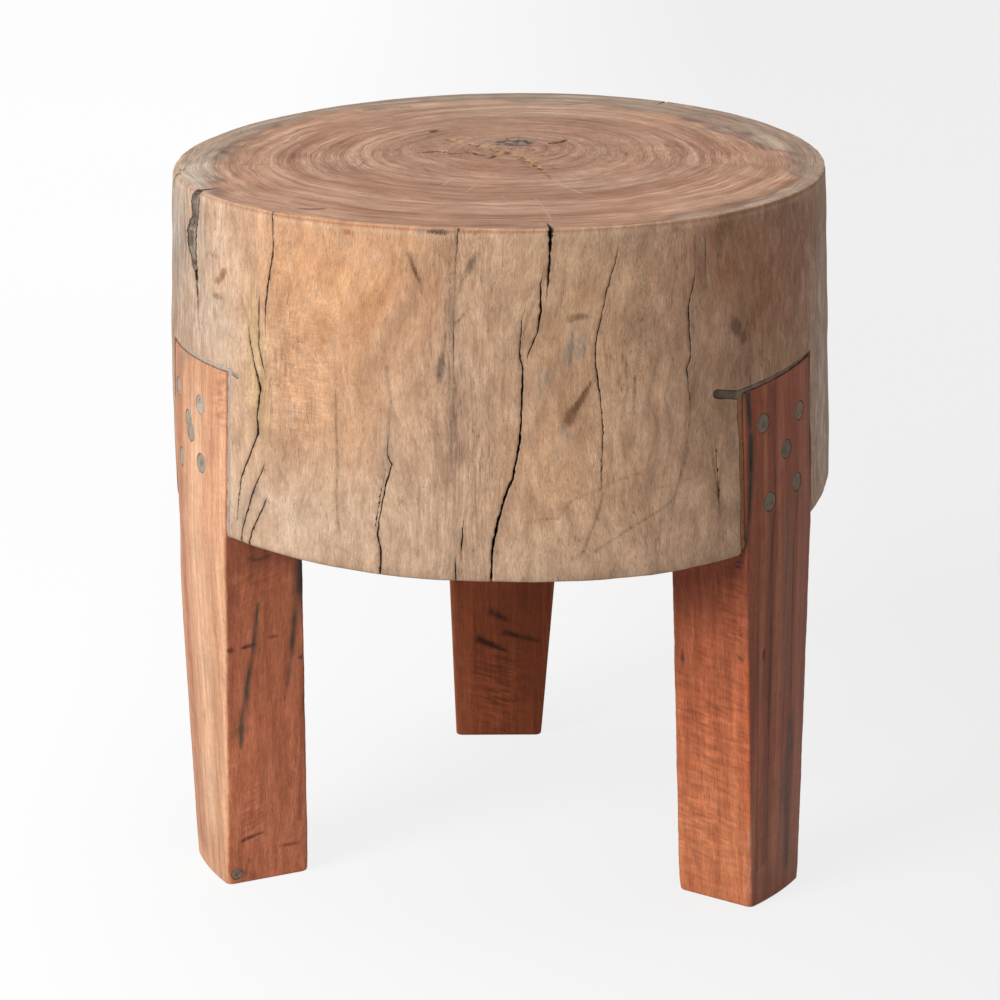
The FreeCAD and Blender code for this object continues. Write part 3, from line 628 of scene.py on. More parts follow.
def cut_away(piece, points, faces):
    """Cuts a closed shape out of a piece."""
    cutter = new_piece("cutter", points, faces)
    cut = piece.modifiers.new("cut", "BOOLEAN")
    cut.operation, cut.solver, cut.object = "DIFFERENCE", "EXACT", cutter
    kept = bpy.data.meshes.new_from_object(piece.evaluated_get(bpy.context.evaluated_depsgraph_get()))
    piece.modifiers.clear()
    spent = piece.data
    piece.data = kept
    bpy.data.meshes.remove(spent)
    shape = cutter.data
    bpy.data.objects.remove(cutter)
    bpy.data.meshes.remove(shape)
    kept.name = piece.name


def joined(shapes):
    """Several closed shapes as one list of points and one of faces."""
    points, faces = [], []
    for shape_points, shape_faces in shapes:
        faces += [[i + len(points) for i in face] for face in shape_faces]
        points += shape_points.tolist()
    return points, faces


def values_of(parts, name):
    """Three values for each of a mesh's points or faces, as Blender keeps them."""
    flat = np.empty(len(parts) * 3, np.float32)
    parts.foreach_get(name, flat)
    return flat.reshape(-1, 3).astype(float)


def places(piece):
    """A piece's points, in millimetres."""
    return values_of(piece.data.vertices, "co") * 1000


def mark_points(piece, name, values):
    """Stores a number or a colour at each point of a piece, for its material to read."""
    values = np.asarray(values, np.float32)
    if values.ndim == 1:
        store = piece.data.attributes.new(name, "FLOAT", "POINT")
        store.data.foreach_set("value", values)
        return
    if values.shape[1] == 3:
        values = np.column_stack([values, np.ones(len(values), np.float32)])
    store = piece.data.attributes.new(name, "FLOAT_COLOR", "POINT")
    store.data.foreach_set("color", values.ravel())


def soften(piece, angle):
    """Shades a piece smooth, and leaves edges sharper than the angle crisp."""
    piece.data.shade_smooth()
    piece.data.set_sharp_from_angle(angle=math.radians(angle))


class Finish:
    """A material as it is built up, node by node, from the places of the points that it covers."""

    def __init__(self, name):
        self.material = bpy.data.materials.new(name)
        self.material.use_nodes = True
        self.tree = self.material.node_tree
        self.shader = self.tree.nodes["Principled BSDF"]
        self.place = self.add("ShaderNodeTexCoord").outputs["Object"]

    def add(self, kind, inputs=(), **settings):
        """A node with its settings, and with its inputs linked or set."""
        node = self.tree.nodes.new(kind)
        for name, value in settings.items():
            setattr(node, name, value)
        for key, value in dict(inputs).items():
            if isinstance(value, bpy.types.NodeSocket):
                self.tree.links.new(value, node.inputs[key])
            else:
                node.inputs[key].default_value = value
        return node

    def stored(self, name, output="Fac"):
        """What was stored at the piece's points under a name."""
        return self.add("ShaderNodeAttribute", attribute_name=name).outputs[output]

    def vector(self, operation, first, second):
        return self.add("ShaderNodeVectorMath", {0: first, 1: second}, operation=operation).outputs["Vector"]

    def maths(self, operation, first, second=0.0):
        return self.add("ShaderNodeMath", {0: first, 1: second}, operation=operation).outputs[0]

    def stretched(self, size, place=None):
        """Places divided by a size in millimetres on each axis."""
        return self.vector("MULTIPLY", place or self.place, tuple(1000 / s for s in size))

    def noise(self, where, detail, roughness, distortion=0.0, output="Fac"):
        inputs = {"Vector": where, "Scale": 1.0, "Detail": detail, "Roughness": roughness,
                  "Distortion": distortion}
        return self.add("ShaderNodeTexNoise", inputs).outputs[output]

    def grain(self, size, detail, roughness, distortion=0.0, place=None):
        """Noise whose grains are about as long as given on each axis, in millimetres."""
        return self.noise(self.stretched(size, place), detail, roughness, distortion)

    def span(self, value, low, high, to_low, to_high):
        """A value carried over from one range to another, and held within it."""
        inputs = {"Value": value, "From Min": low, "From Max": high, "To Min": to_low, "To Max": to_high}
        return self.add("ShaderNodeMapRange", inputs).outputs["Result"]

    def shaded(self, colour, value, low, high, to_low, to_high):
        """A colour made darker or paler by a value, whose range is carried over to factors."""
        factor = self.span(value, low, high, to_low, to_high)
        scaled = self.add("ShaderNodeVectorMath", {0: colour, "Scale": factor}, operation="SCALE")
        return scaled.outputs["Vector"]

    def mix(self, factor, *colours):
        first, second = (c if isinstance(c, bpy.types.NodeSocket) else (*c, 1.0) for c in colours)
        return self.add("ShaderNodeMix", {0: factor, 6: first, 7: second}, data_type="RGBA").outputs[2]

    def between(self, value, first, second, low=0.36, high=0.64):
        """A colour that goes from one to another as a value runs from low to high."""
        return self.mix(self.span(value, low, high, 0.0, 1.0), first, second)

    def tinted(self, colour, value, first, second):
        """A colour times one that goes between two tints."""
        return self.vector("MULTIPLY", colour, self.between(value, first, second))

    def rippled(self, cross):
        """Noise across the grain, as strong as the ripple stored at the points."""
        return self.maths("MULTIPLY", self.maths("SUBTRACT", cross, 0.5), self.stored("ripple"))

    def marked(self, colour, grain, play=0.3):
        """A colour with the sharper marks laid over it. They break up along the grain by so much."""
        mark = self.add("ShaderNodeAttribute", attribute_name="mark")
        loose = self.maths("ADD", mark.outputs["Alpha"], self.span(grain, 0.3, 0.7, -play, play))
        speckled = self.shaded(mark.outputs["Color"], grain, 0.3, 0.7, 1.4, 0.65)
        return self.mix(self.span(loose, 0.32, 0.8, 0.0, 1.0), colour, speckled)

    def swayed(self, length, reach):
        """Places drawn aside by up to a reach in millimetres, in swings of a length, so the grain flows."""
        drift = self.noise(self.stretched(length), 2.0, 0.5, output="Color")
        sway = self.vector("SUBTRACT", drift, (0.5, 0.5, 0.5))
        across = reach * 0.004
        return self.vector("ADD", self.place, self.vector("MULTIPLY", sway, (across, across, 0.0)))

    def done(self, colour, roughness, height, bump_strength, bump_depth, specular=0.25):
        """The material, with its colour, its roughness and a bump as deep as given in millimetres."""
        links = self.tree.links
        links.new(colour, self.shader.inputs["Base Color"])
        links.new(roughness, self.shader.inputs["Roughness"])
        self.shader.inputs["Specular IOR Level"].default_value = specular
        inputs = {"Height": height, "Strength": bump_strength, "Distance": bump_depth * 0.001}
        links.new(self.add("ShaderNodeBump", inputs).outputs["Normal"], self.shader.inputs["Normal"])
        return self.material


def side_finish():
    """Bare weathered long grain: fibres and pores down the log, ovals of figure, and a soft mottle."""
    wood = Finish("bare log side")
    flow = wood.swayed((60, 60, 120), 8)
    fibre = wood.grain((0.7, 0.7, 4.6), 3.0, 0.62, place=flow)
    fine = wood.grain((0.6, 0.6, 0.9), 2.0, 0.6, place=flow)
    pores = wood.grain((0.8, 0.8, 4), 1.0, 0.5, place=flow)
    cloud = wood.grain((26, 26, 52), 4.0, 0.55, 0.8, flow)
    smoke = wood.grain((7, 7, 16), 3.0, 0.55, 0.5, flow)
    streak = wood.grain((1.8, 1.8, 45), 4.0, 0.62, place=flow)
    hair = wood.maths("SUBTRACT", wood.grain((3.4, 3.4, 75), 2.0, 0.5, 0.4, flow), 0.5)
    hair_patch = wood.span(wood.grain((26, 26, 80), 2.0, 0.5), 0.48, 0.62, 0.0, 0.5)
    hair_line = wood.span(wood.maths("ABSOLUTE", hair), 0.0, 0.02, 1.0, 0.0)
    figure = wood.maths("ADD", wood.maths("MULTIPLY", wood.stored("figure"), 6.0),
                        wood.maths("MULTIPLY", wood.grain((22, 22, 55), 3.0, 0.5), 2.2))
    contour = wood.maths("SINE", wood.maths("MULTIPLY", figure, 6.283))
    ripple = wood.rippled(wood.grain((9, 9, 1.3), 2.0, 0.5, 0.8))

    colour = wood.marked(wood.stored("tone", "Color"), fibre)
    colour = wood.shaded(colour, fibre, 0.34, 0.66, 0.84, 1.15)
    colour = wood.shaded(colour, fine, 0.3, 0.7, 0.89, 1.10)
    colour = wood.shaded(colour, pores, 0.62, 0.74, 1.0, 0.72)
    colour = wood.shaded(colour, contour, 0.55, 1.0, 1.0, 0.955)
    colour = wood.shaded(colour, ripple, -0.2, 0.2, 0.84, 1.13)
    colour = wood.tinted(colour, cloud, (0.86, 0.81, 0.77), (1.09, 1.08, 1.07))
    colour = wood.tinted(colour, smoke, (0.88, 0.85, 0.83), (1.09, 1.09, 1.08))
    streaky = wood.tinted(colour, streak, (0.66, 0.62, 0.59), (1.20, 1.22, 1.25))
    colour = wood.mix(wood.stored("worn"), colour, streaky)
    colour = wood.mix(wood.maths("MULTIPLY", hair_line, hair_patch), colour, (0.10, 0.06, 0.04))
    # Painted shade in the checks: near black inside, with paler torn wood in the middle of the wide ones
    gape = wood.maths("ADD", wood.stored("split"), wood.span(fine, 0.2, 0.8, -0.3, 0.3))
    inside = wood.between(fibre, (0.018, 0.013, 0.010), (0.14, 0.105, 0.08), 0.45, 0.66)
    torn = wood.between(streak, (0.13, 0.098, 0.077), (0.46, 0.365, 0.29))
    inside = wood.mix(wood.span(wood.stored("split"), 1.1, 1.6, 0.0, 0.95), inside, torn)
    colour = wood.between(gape, colour, inside, 0.40, 0.62)
    rough = wood.span(fibre, 0.3, 0.7, 0.72, 0.9)
    height = wood.maths("ADD", fibre, wood.maths("MULTIPLY", fine, 0.6))
    return wood.done(colour, rough, height, 0.35, 0.4, 0.15)


def end_finish():
    """Sanded end grain: growth rings of uneven width round the pith, and fine streaks along them."""
    wood = Finish("sanded end grain")
    tone, growth = wood.stored("tone", "Color"), wood.stored("growth")
    bend = wood.maths("SUBTRACT", wood.grain((55, 55, 55), 2.0, 0.5), 0.5)
    grown = wood.maths("ADD", growth, wood.maths("MULTIPLY", bend, 0.07))
    around = wood.stored("around", "Vector")

    def rings(pace, reach, detail):
        """Noise that runs out from the pith at a pace, and changes round it within a reach."""
        along = wood.add("ShaderNodeCombineXYZ", {"X": wood.maths("MULTIPLY", grown, pace)}).outputs["Vector"]
        where = wood.vector("ADD", along, wood.vector("MULTIPLY", around, (reach, reach, reach)))
        return wood.noise(where, detail, 0.55)

    broad, narrow, fine = rings(14, 0.7, 3.0), rings(60, 1.6, 3.0), rings(230, 9.0, 2.0)
    wave = wood.maths("ADD", wood.maths("MULTIPLY", grown, 138.0), wood.maths("MULTIPLY", broad, 11.0))
    late = wood.maths("SINE", wave)
    pores = wood.grain((0.7, 0.7, 9), 2.0, 0.6)
    cloud = wood.grain((30, 30, 30), 3.0, 0.55, 0.6)
    ringed = wood.between(broad, (0.79, 0.71, 0.66), (1.13, 1.15, 1.15))
    ringed = wood.tinted(ringed, narrow, (0.80, 0.73, 0.68), (1.13, 1.15, 1.15))
    ringed = wood.shaded(ringed, late, 0.70, 1.0, 1.0, 0.80)
    ringed = wood.shaded(ringed, late, -1.0, -0.8, 1.12, 1.0)
    clear = wood.span(wood.grain((52, 52, 52), 3.0, 0.6), 0.40, 0.60, 0.45, 1.0)
    colour = wood.vector("MULTIPLY", tone, wood.mix(clear, (0.93, 0.87, 0.825), ringed))
    colour = wood.shaded(colour, fine, 0.34, 0.66, 0.77, 1.19)
    colour = wood.shaded(colour, pores, 0.3, 0.7, 0.80, 1.18)
    colour = wood.shaded(colour, cloud, 0.35, 0.65, 0.90, 1.08)
    colour = wood.marked(colour, pores)
    rough = wood.span(narrow, 0.3, 0.7, 0.6, 0.8)
    return wood.done(colour, rough, wood.maths("ADD", pores, fine), 0.2, 0.3, 0.2)


def sawn_finish():
    """Fresh-sawn wood inside the housings, with the marks of the saw."""
    wood = Finish("sawn housing")
    fibre = wood.grain((1.2, 1.2, 20), 4.0, 0.6)
    kerf = wood.grain((30, 30, 2.4), 2.0, 0.5)
    colour = wood.between(fibre, (0.30, 0.19, 0.12), (0.46, 0.31, 0.21), 0.3, 0.7)
    colour = wood.shaded(colour, kerf, 0.3, 0.7, 0.85, 1.1)
    return wood.done(colour, wood.span(fibre, 0.3, 0.7, 0.75, 0.92), kerf, 0.4, 0.6)


# Where each leg's head sits in the log, as the housings are cut for it
housing_depth = 55.0
head_width, head_rise = 86.0, 106.0
head_top, head_drop = underside + head_rise, 6.8
head_seam, cheek_seam = 3.4, 4.5
overcut_length, overcut_height, overcut_tilt = 16.0, 6.0, 4.0
seam_lift, low_overrun, past_round = 1.0, 15.0, log_radius + 30
legs = dict(
    front_left=dict(
        angle=-155.5, head=(-0.36, 0.634), drop=0.0, housing=1.0, open_cheek=1, overcut=(0.34, 0.6, -0.5)),
    front_right=dict(
        angle=-34.0, head=(-0.634, 0.272), drop=1.0, housing=0.94, open_cheek=-1, overcut=(1.0, 1.0, 1.0)),
    rear=dict(
        angle=90.0, head=(-0.578, 0.473), drop=0.0, housing=1.0, open_cheek=1, overcut=(0.6, 0.8, 0.0)),
)


def leg_frame(leg):
    """Unit vectors out along a leg's own line and across it."""
    turn = math.radians(leg["angle"])
    return np.array([math.cos(turn), math.sin(turn), 0]), np.array([-math.sin(turn), math.cos(turn), 0])


def on_leg(leg, out, across, height):
    """Points given along a leg's line, across it and up, in the table's frame."""
    along, aside = leg_frame(leg)
    out, across, height = np.broadcast_arrays(*(np.asarray(v, float) for v in (out, across, height)))
    points = out[..., None] * along + across[..., None] * aside
    points[..., 2] = height
    return points


def head_span(leg):
    """Where a head's low and high cheeks lie across the leg."""
    return head_width * leg["head"][0], head_width * leg["head"][1]


def housing_floor(leg):
    """How far out along a leg's line the floor of its housing lies."""
    return log_radius - housing_depth * leg["housing"]


def head_line(leg, across):
    """How high a head's sawn upper end is across the leg. It may drop towards the open cheek."""
    tight, opened = head_span(leg)[::leg["open_cheek"]]
    return head_top - head_drop * leg["drop"] * (across - tight) / (opened - tight)


def housing_outline(leg, seam_only=False):
    """The outline of a housing, or only of the seam round the head in it: across the leg and up."""
    side = leg["open_cheek"]
    near, far = (side * v for v in head_span(leg)[::side])
    length, height, tilt = leg["overcut"]
    cheek = far + cheek_seam
    end = cheek + overcut_length * length
    top = head_line(leg, side * cheek) + head_seam
    half, rise = overcut_height * height / 2, overcut_tilt * tilt
    turns = np.linspace(-1.4, 1.4, 7)
    nose = [(end + half * math.cos(t), top - half + rise + half * math.sin(t)) for t in turns]
    upper = [(cheek, top - 2 * half), *nose, (cheek, top), (near, head_line(leg, side * near) + head_seam)]
    if seam_only:
        corners = [(far, underside + seam_lift), (cheek, underside + seam_lift), *upper,
                   (near, head_line(leg, side * near)), (far, head_line(leg, side * far))]
    else:
        corners = [(near, underside - low_overrun), (cheek, underside - low_overrun), *upper]
    return [(side * v, z) for v, z in corners[::side]]


def rough_line(corners, pitch, play, seed):
    """A closed outline with points every so often along its sides, each a little off the line."""
    chance = np.random.default_rng(seed)
    points = []
    for a, b in zip(corners, corners[1:] + corners[:1]):
        a, b = np.array(a), np.array(b)
        count = max(1, int(np.linalg.norm(b - a) / pitch))
        for i in range(count):
            points.append(a + (b - a) * i / count + chance.normal(0, play, 2) * (i > 0))
    return np.array(points)


def prism_faces(count):
    """The faces of a prism with so many corners: its two ends and then its sides."""
    faces = [list(range(count))[::-1], list(range(count, 2 * count))]
    return faces + [[i, (i + 1) % count, (i + 1) % count + count, i + count] for i in range(count)]


def prism(leg, outline, start, end):
    """A closed prism along a leg's line, from an outline across it."""
    points = np.concatenate([on_leg(leg, reach, outline[:, 0], outline[:, 1]) for reach in (start, end)])
    return points, prism_faces(len(outline))


drum_points, drum_faces = drum_mesh()
on_top = drum_points[:, 2] > overall_height - 0.01
drum_points[on_top, 2] -= top_sink(drum_points[on_top, :2])
log_drum = new_piece("bare_log_drum", drum_points, drum_faces)
housings = []
for number, leg in enumerate(legs.values()):
    outline = rough_line(housing_outline(leg), 4.0, 0.16, 300 + number)
    housings.append(prism(leg, outline, housing_floor(leg), past_round))
cut_away(log_drum, *joined(housings))

# What the drum's finishes read at each of its points
points = places(log_drum)
angle, share, reach = log_place(points)
top_side = (points[:, 2] > overall_height - 0.05) | ((reach < 0.8) & (share > 0.9))
low_side = (share < 0.005) & (reach < 0.97)
tones, marks, split = side_tones(points)
end_tones, end_marks, growth = top_tones(points)
tones[top_side], marks[top_side], split[top_side] = end_tones[top_side], end_marks[top_side], 0.0
tones[low_side] = blend_in(end_tones[low_side], np.full(low_side.sum(), 0.4), (0.33, 0.26, 0.2))
marks[low_side], split[low_side] = 0.0, 0.0
worn, rippled = side_wear(angle, share)
out = points[:, :2] - pith
around = np.column_stack([np.zeros(len(out)), out / (np.hypot(*out.T)[:, None] + 1e-6)])
for name, values in dict(tone=tones, mark=marks, split=split, growth=growth, figure=side_figure(angle, share),
                         ripple=rippled, worn=worn, around=around).items():
    mark_points(log_drum, name, values)

# Which of its faces are side, end grain or sawn inside a housing
for finish in (side_finish(), end_finish(), sawn_finish()):
    log_drum.data.materials.append(finish)
side_kind, end_kind, sawn_kind = range(3)
normal = values_of(log_drum.data.polygons, "normal")
centre = values_of(log_drum.data.polygons, "center") * 1000
_, centre_share, centre_reach = log_place(centre)
within, upright = centre_reach < 0.985, np.abs(normal[:, 2])
kind = np.where((upright > 0.6) & within, end_kind, side_kind)
kind[within & (np.abs(centre_share - 0.5) < 0.47) & (upright > 0.9)] = sawn_kind
housing_margin = 26
for leg in legs.values():
    along, aside = leg_frame(leg)
    u, v = centre @ along, centre @ aside
    low, high = head_span(leg)
    inside = (v > low - housing_margin) & (v < high + housing_margin)
    inside = inside & (u > housing_floor(leg) - 1) & (centre[:, 2] < head_top + 4)
    kind[inside & within & (normal[:, 2] > -0.9)] = sawn_kind
log_drum.data.polygons.foreach_set("material_index", kind.astype(np.int32))
soften(log_drum, 38)
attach(log_drum, "root")
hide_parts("log_drum")

# Legs
# Three square legs of red hardwood. Each head is let into a housing and worked flush with the log's round,
# and the shank tapers to a foot with eased edges. Screws go through the head from counterbores.
foot_width, foot_draw, foot_set, foot_ease = 59.0, 10.0, 8.0, 1.6
arris_wear, foot_wear, knot_overrun = 1.3, 2.2, 10.0
leg_pitch, inner_columns, cheek_columns, outer_columns = 1.6, 36, 44, 68
face_names, face_margin = ("inner", "low", "outer", "high"), 1.2
plug_diameter, screw_grip = 12.7, 36.0
knot_radius, knot_depth, knot_inset, knot_rise = 4.1, 6.0, 8.0, 7.4
legs["front_left"].update(
    foot=(-0.547, 0.459), foot_inner=-0.95, foot_outer=-0.86, hollow=2.4, stray=[(-0.03, 0.54)],
    screws=[(-0.35, 0.75), (0.14, 0.74), (-0.08, 0.61), (-0.25, 0.34), (0.16, 0.39)])
legs["front_right"].update(
    foot=(-0.585, 0.39), foot_inner=-0.3, foot_outer=0.26, hollow=0.0, stray=[],
    screws=[(-0.28, 0.73), (0.28, 0.71), (0.04, 0.52), (0.21, 0.29), (-0.21, 0.25)])
legs["rear"].update(
    foot=(-0.488, 0.546), foot_inner=-1.2, foot_outer=-1.06, hollow=0.0, stray=[],
    screws=[(-0.26, 0.74), (0.25, 0.72), (0.0, 0.53), (0.22, 0.3), (-0.21, 0.28)])

# The wood's colour on each leg's inner, low, outer and high faces, before the grain
leg_tones = dict(
    # The front left's outer face is paler: partly paler wood, partly a painted sheen of the key lamp.
    front_left=((0.40, 0.11, 0.05), (0.45, 0.16, 0.085), (0.635, 0.34, 0.20), (0.575, 0.185, 0.093)),
    front_right=((0.42, 0.135, 0.07), (0.44, 0.122, 0.053), (0.35, 0.112, 0.062), (0.40, 0.13, 0.06)),
    # The rear's inner face is darker: partly the wood, partly painted shade under the drum and the front left
    # leg.
    rear=((0.27, 0.0675, 0.0262), (0.42, 0.145, 0.075), (0.42, 0.18, 0.11), (0.44, 0.15, 0.08)),
)

# Soft shades on the legs: the face, a line along it (out or across, and up), half its width at both ends,
# colour, strength
soot, wine, clay = (0.045, 0.03, 0.025), (0.16, 0.045, 0.028), (0.28, 0.19, 0.14)
smoke, burnt = (0.11, 0.075, 0.055), (0.045, 0.013, 0.007)
leg_shades = dict(
    front_left=[
        # Painted light: the lower high face paler towards the floor.
        ("high", [(150, 30), (208, 30)], (62, 62), (0.77, 0.265, 0.14), 0.6),
        # Painted shade: the top of the high face darker under the drum.
        ("high", [(152, 236), (206, 232)], (16, 16), (0.24, 0.07, 0.04), 0.36),
        ("high", [(188.9, 198), (191.5, 170), (195.6, 142), (199, 112)], (0.9, 2.5), smoke, 0.9),
        ("high", [(199, 112), (199.2, 98)], (2.5, 0.7), smoke, 0.9),
        ("high", [(160.5, 226), (161, 212), (162, 199), (166, 164), (168, 138)], (4.2, 1.0), smoke, 0.9),
        # Painted shade in the corner under the drum, in the soot colour.
        ("high", [(155, 243), (161, 205)], (6, 4), soot, 0.7),
        ("high", [(151, 245), (157, 150), (158, 40)], (2, 1.6), wine, 0.45),
        ("high", [(203, 200), (206, 212)], (3, 3), wine, 0.4),
        ("high", [(206, 10), (190, 4)], (4, 4), wine, 0.3),
        ("high", [(193, 16), (194.7, 7)], (1.6, 1.2), wine, 0.6),
        ("outer", [(-14, 345), (-14, 200), (-16, 20)], (12, 10), (0.465, 0.195, 0.105), 0.8),
        ("outer", [(-27, 345), (-29, 200), (-30, 20)], (9, 9), (0.50, 0.20, 0.105), 0.6),
        ("outer", [(18, 340), (15, 145), (8, 40)], (9, 9), (0.73, 0.44, 0.28), 0.7),
        ("outer", [(36, 340), (34, 150), (22, 40)], (5, 5), (0.60, 0.305, 0.17), 0.5),
        ("outer", [(51, 340), (45, 150), (33, 40)], (4, 4), (0.74, 0.42, 0.25), 0.6),
        ("outer", [(30, 346), (0, 348)], (12, 12), (0.56, 0.26, 0.14), 0.5),
        ("outer", [(48, 325), (50, 345)], (7, 7), (0.58, 0.27, 0.15), 0.6),
        ("outer", [(-24.5, 324), (-2.5, 352)], (8, 8), clay, 0.5),
    ],
    front_right=[
        # Painted light: the lower low face paler towards the floor.
        ("low", [(165, 25), (215, 25)], (66, 66), (0.60, 0.215, 0.098), 0.7),
        # Painted shadow of the drum over the top of the low face.
        ("low", [(165, 222), (216, 236)], (30, 30), (0.25, 0.06, 0.035), 0.5),
        ("outer", [(-40, 330), (15, 330)], (35, 35), (0.365, 0.094, 0.046), 0.65),
        ("outer", [(-30, 45), (18, 45)], (50, 50), (0.43, 0.205, 0.145), 0.45),
        ("outer", [(-36, 345), (-37, 210), (-29, 30)], (4, 4), (0.48, 0.175, 0.10), 0.7),
        ("outer", [(-18, 345), (-20, 205), (-14, 30)], (4, 4), (0.48, 0.18, 0.105), 0.7),
        ("outer", [(9, 345), (8, 197), (14, 30)], (4, 4), (0.46, 0.16, 0.095), 0.6),
        ("outer", [(-28, 345), (-30, 210), (-24, 30)], (3, 3), (0.20, 0.065, 0.04), 0.6),
        ("outer", [(22.5, 345), (22.5, 262)], (1.6, 1.6), soot, 0.7),
        ("low", [(216, 170), (214, 60)], (3.5, 3.5), (0.58, 0.13, 0.045), 0.5),
        ("outer", [(-12, 262), (-11, 202), (-8, 140)], (4.5, 3.5), (0.21, 0.12, 0.09), 0.6),
        ("outer", [(1, 120), (3, 97), (1.5, 63), (4, 20)], (4.5, 5.5), (0.13, 0.075, 0.058), 0.7),
        ("outer", [(-3, 96), (-5, 66)], (3.5, 3), (0.16, 0.085, 0.063), 0.5),
        ("outer", [(-55, 341), (-57, 247)], (2.4, 2), (0.38, 0.15, 0.075), 0.7),
        ("outer", [(-51.5, 344), (-49.5, 314), (-50, 288), (-51.5, 271), (-56, 245)], (3.2, 1.6),
         (0.075, 0.045, 0.034), 0.9),
    ],
    rear=[
        # Painted light: the foot of the inner face paler towards the floor.
        ("inner", [(-38, 12), (38, 12)], (36, 36), (0.34, 0.094, 0.039), 0.55),
        ("inner", [(37, 105), (30, 8)], (7, 7), (0.34, 0.10, 0.046), 0.6),
        ("inner", [(-22, 105), (-20, 30)], (4, 3), (0.17, 0.04, 0.018), 0.4),
        ("inner", [(-7, 105), (-10, 85)], (5, 3), (0.17, 0.04, 0.018), 0.4),
        ("inner", [(6.5, 93), (-5, 87)], (2.4, 1.4), burnt, 0.85),
        ("inner", [(-3.5, 77.5), (-26, 71.5)], (2.4, 1.2), burnt, 0.85),
        ("inner", [(15.5, 72.7), (-3.5, 64)], (2.6, 1.1), (0.025, 0.008, 0.005), 0.95),
        ("inner", [(29, 51), (28.5, 49)], (2.2, 2.2), wine, 0.6),
    ],
)

# Crisper marks on the legs, given in the same way with one half width
leg_marks = dict(
    front_left=[
        ("high", [(208, 168.5), (205.5, 168.6)], 2.2, wine, 0.85),
        ("high", [(199.7, 168.9), (190.8, 170.2)], 1.5, (0.09, 0.04, 0.03), 0.9),
        ("high", [(181.8, 173.4), (175.8, 173.8)], 1.2, wine, 0.85),
        ("high", [(160.5, 156.5), (158.5, 156)], 2.0, wine, 0.8),
        ("high", [(196.7, 229), (192.3, 231)], 1.2, soot, 0.6),
        ("high", [(193, 227.7), (181.2, 229.8)], 1.4, soot, 0.6),
        ("high", [(198, 31), (193.5, 32.7), (183.5, 34.9)], 1.5, (0.13, 0.05, 0.035), 0.85),
        ("high", [(171.8, 22.6), (157.8, 22.5)], 1.2, wine, 0.85),
        ("outer", [(57.5, 244), (57, 238)], 1.5, wine, 0.8),
        ("outer", [(33.5, 182.5), (35, 177)], 1.2, (0.42, 0.18, 0.10), 0.7),
        ("outer", [(9.5, 118), (9.5, 107)], 1.2, (0.42, 0.19, 0.11), 0.7),
    ],
    front_right=[
        ("outer", [(-51, 340), (-50, 324)], 1.5, soot, 0.8),
        ("outer", [(-49.4, 318), (-49.8, 297)], 1.9, soot, 0.85),
        ("outer", [(-50.2, 290), (-51.5, 270)], 1.3, soot, 0.8),
        ("outer", [(-25, 345), (-27, 265), (-30, 247), (-26, 151), (-21, 30)], 0.8, soot, 0.8),
        ("outer", [(2.5, 290), (2.5, 268), (-4, 240), (-0.5, 159), (5, 99)], 0.9, soot, 0.8),
        ("outer", [(-42.5, 245), (-42.5, 219), (-37.5, 143), (-31, 25)], 0.7, (0.15, 0.06, 0.042), 0.75),
        ("outer", [(-33.5, 176), (-33.5, 169)], 1.5, soot, 0.8),
        ("outer", [(10, 345), (9, 225), (10, 100)], 0.7, (0.19, 0.07, 0.045), 0.6),
        ("outer", [(-8, 345), (-8, 262)], 0.7, (0.20, 0.07, 0.045), 0.6),
        ("outer", [(18, 345), (18, 240), (15, 130)], 0.8, (0.20, 0.07, 0.045), 0.6),
        ("outer", [(-38, 335), (-39, 250)], 0.8, (0.20, 0.075, 0.045), 0.6),
        ("low", [(214, 243), (208, 243)], 1.2, soot, 0.9), ("low", [(215, 238), (210, 238)], 1.0, soot, 0.9),
        ("low", [(214, 234), (209, 235)], 1.0, soot, 0.85), ("low", [(206, 232), (202, 233)], 1.0, soot, 0.6),
        ("low", [(211, 196), (206, 199)], 0.9, wine, 0.7), ("low", [(213, 190), (207, 193)], 0.9, wine, 0.7),
        ("low", [(212, 184), (208, 187)], 1.0, wine, 0.7), ("low", [(213, 172), (209, 175)], 1.2, soot, 0.7),
        ("low", [(169.5, 170), (169.2, 160)], 1.4, soot, 0.7),
    ],
    rear=[
        ("inner", [(28, 35.5), (27.6, 34)], 1.2, wine, 0.7),
        ("inner", [(20, 19.5), (19.6, 18)], 1.2, wine, 0.7),
        ("inner", [(5.5, 91.8), (-3, 87.5)], 1.3, burnt, 0.9),
        ("inner", [(-5, 77), (-15, 74)], 1.4, burnt, 0.9),
        ("inner", [(14, 71.8), (4, 67.2)], 1.7, burnt, 0.95),
    ],
)

# Patches of ripple in the grain: the face, its middle (out or across, and up), its reaches and strength.
# The ripple climbs by a share of the way out and of the way across.
leg_ripples = dict(
    front_left=[
        ("high", 189, 52, 9, 19, 1.0), ("high", 185, 215, 22, 24, 0.5), ("outer", 50, 335, 9, 16, 1.0)],
    front_right=[
        ("low", 190, 120, 40, 70, 0.8), ("low", 207, 200, 12, 30, 1.0), ("low", 180, 50, 34, 44, 0.85)],
    rear=[("inner", 3, 38, 17, 32, 1.7)],
)
ripple_climbs = dict(front_left=(0.38, 0.0), front_right=(0.15, 0.0), rear=(0.0, -0.25))


def scribe_reach(leg, offset, height):
    """How far out the log's round lies at an offset to one side of a leg's own line."""
    along, aside = leg_frame(leg)
    turn = math.radians(leg["angle"]) + np.arcsin(offset / log_radius)
    turn = turn - (log_round(turn, height) @ aside - offset) / log_radius
    return log_round(turn, height) @ along


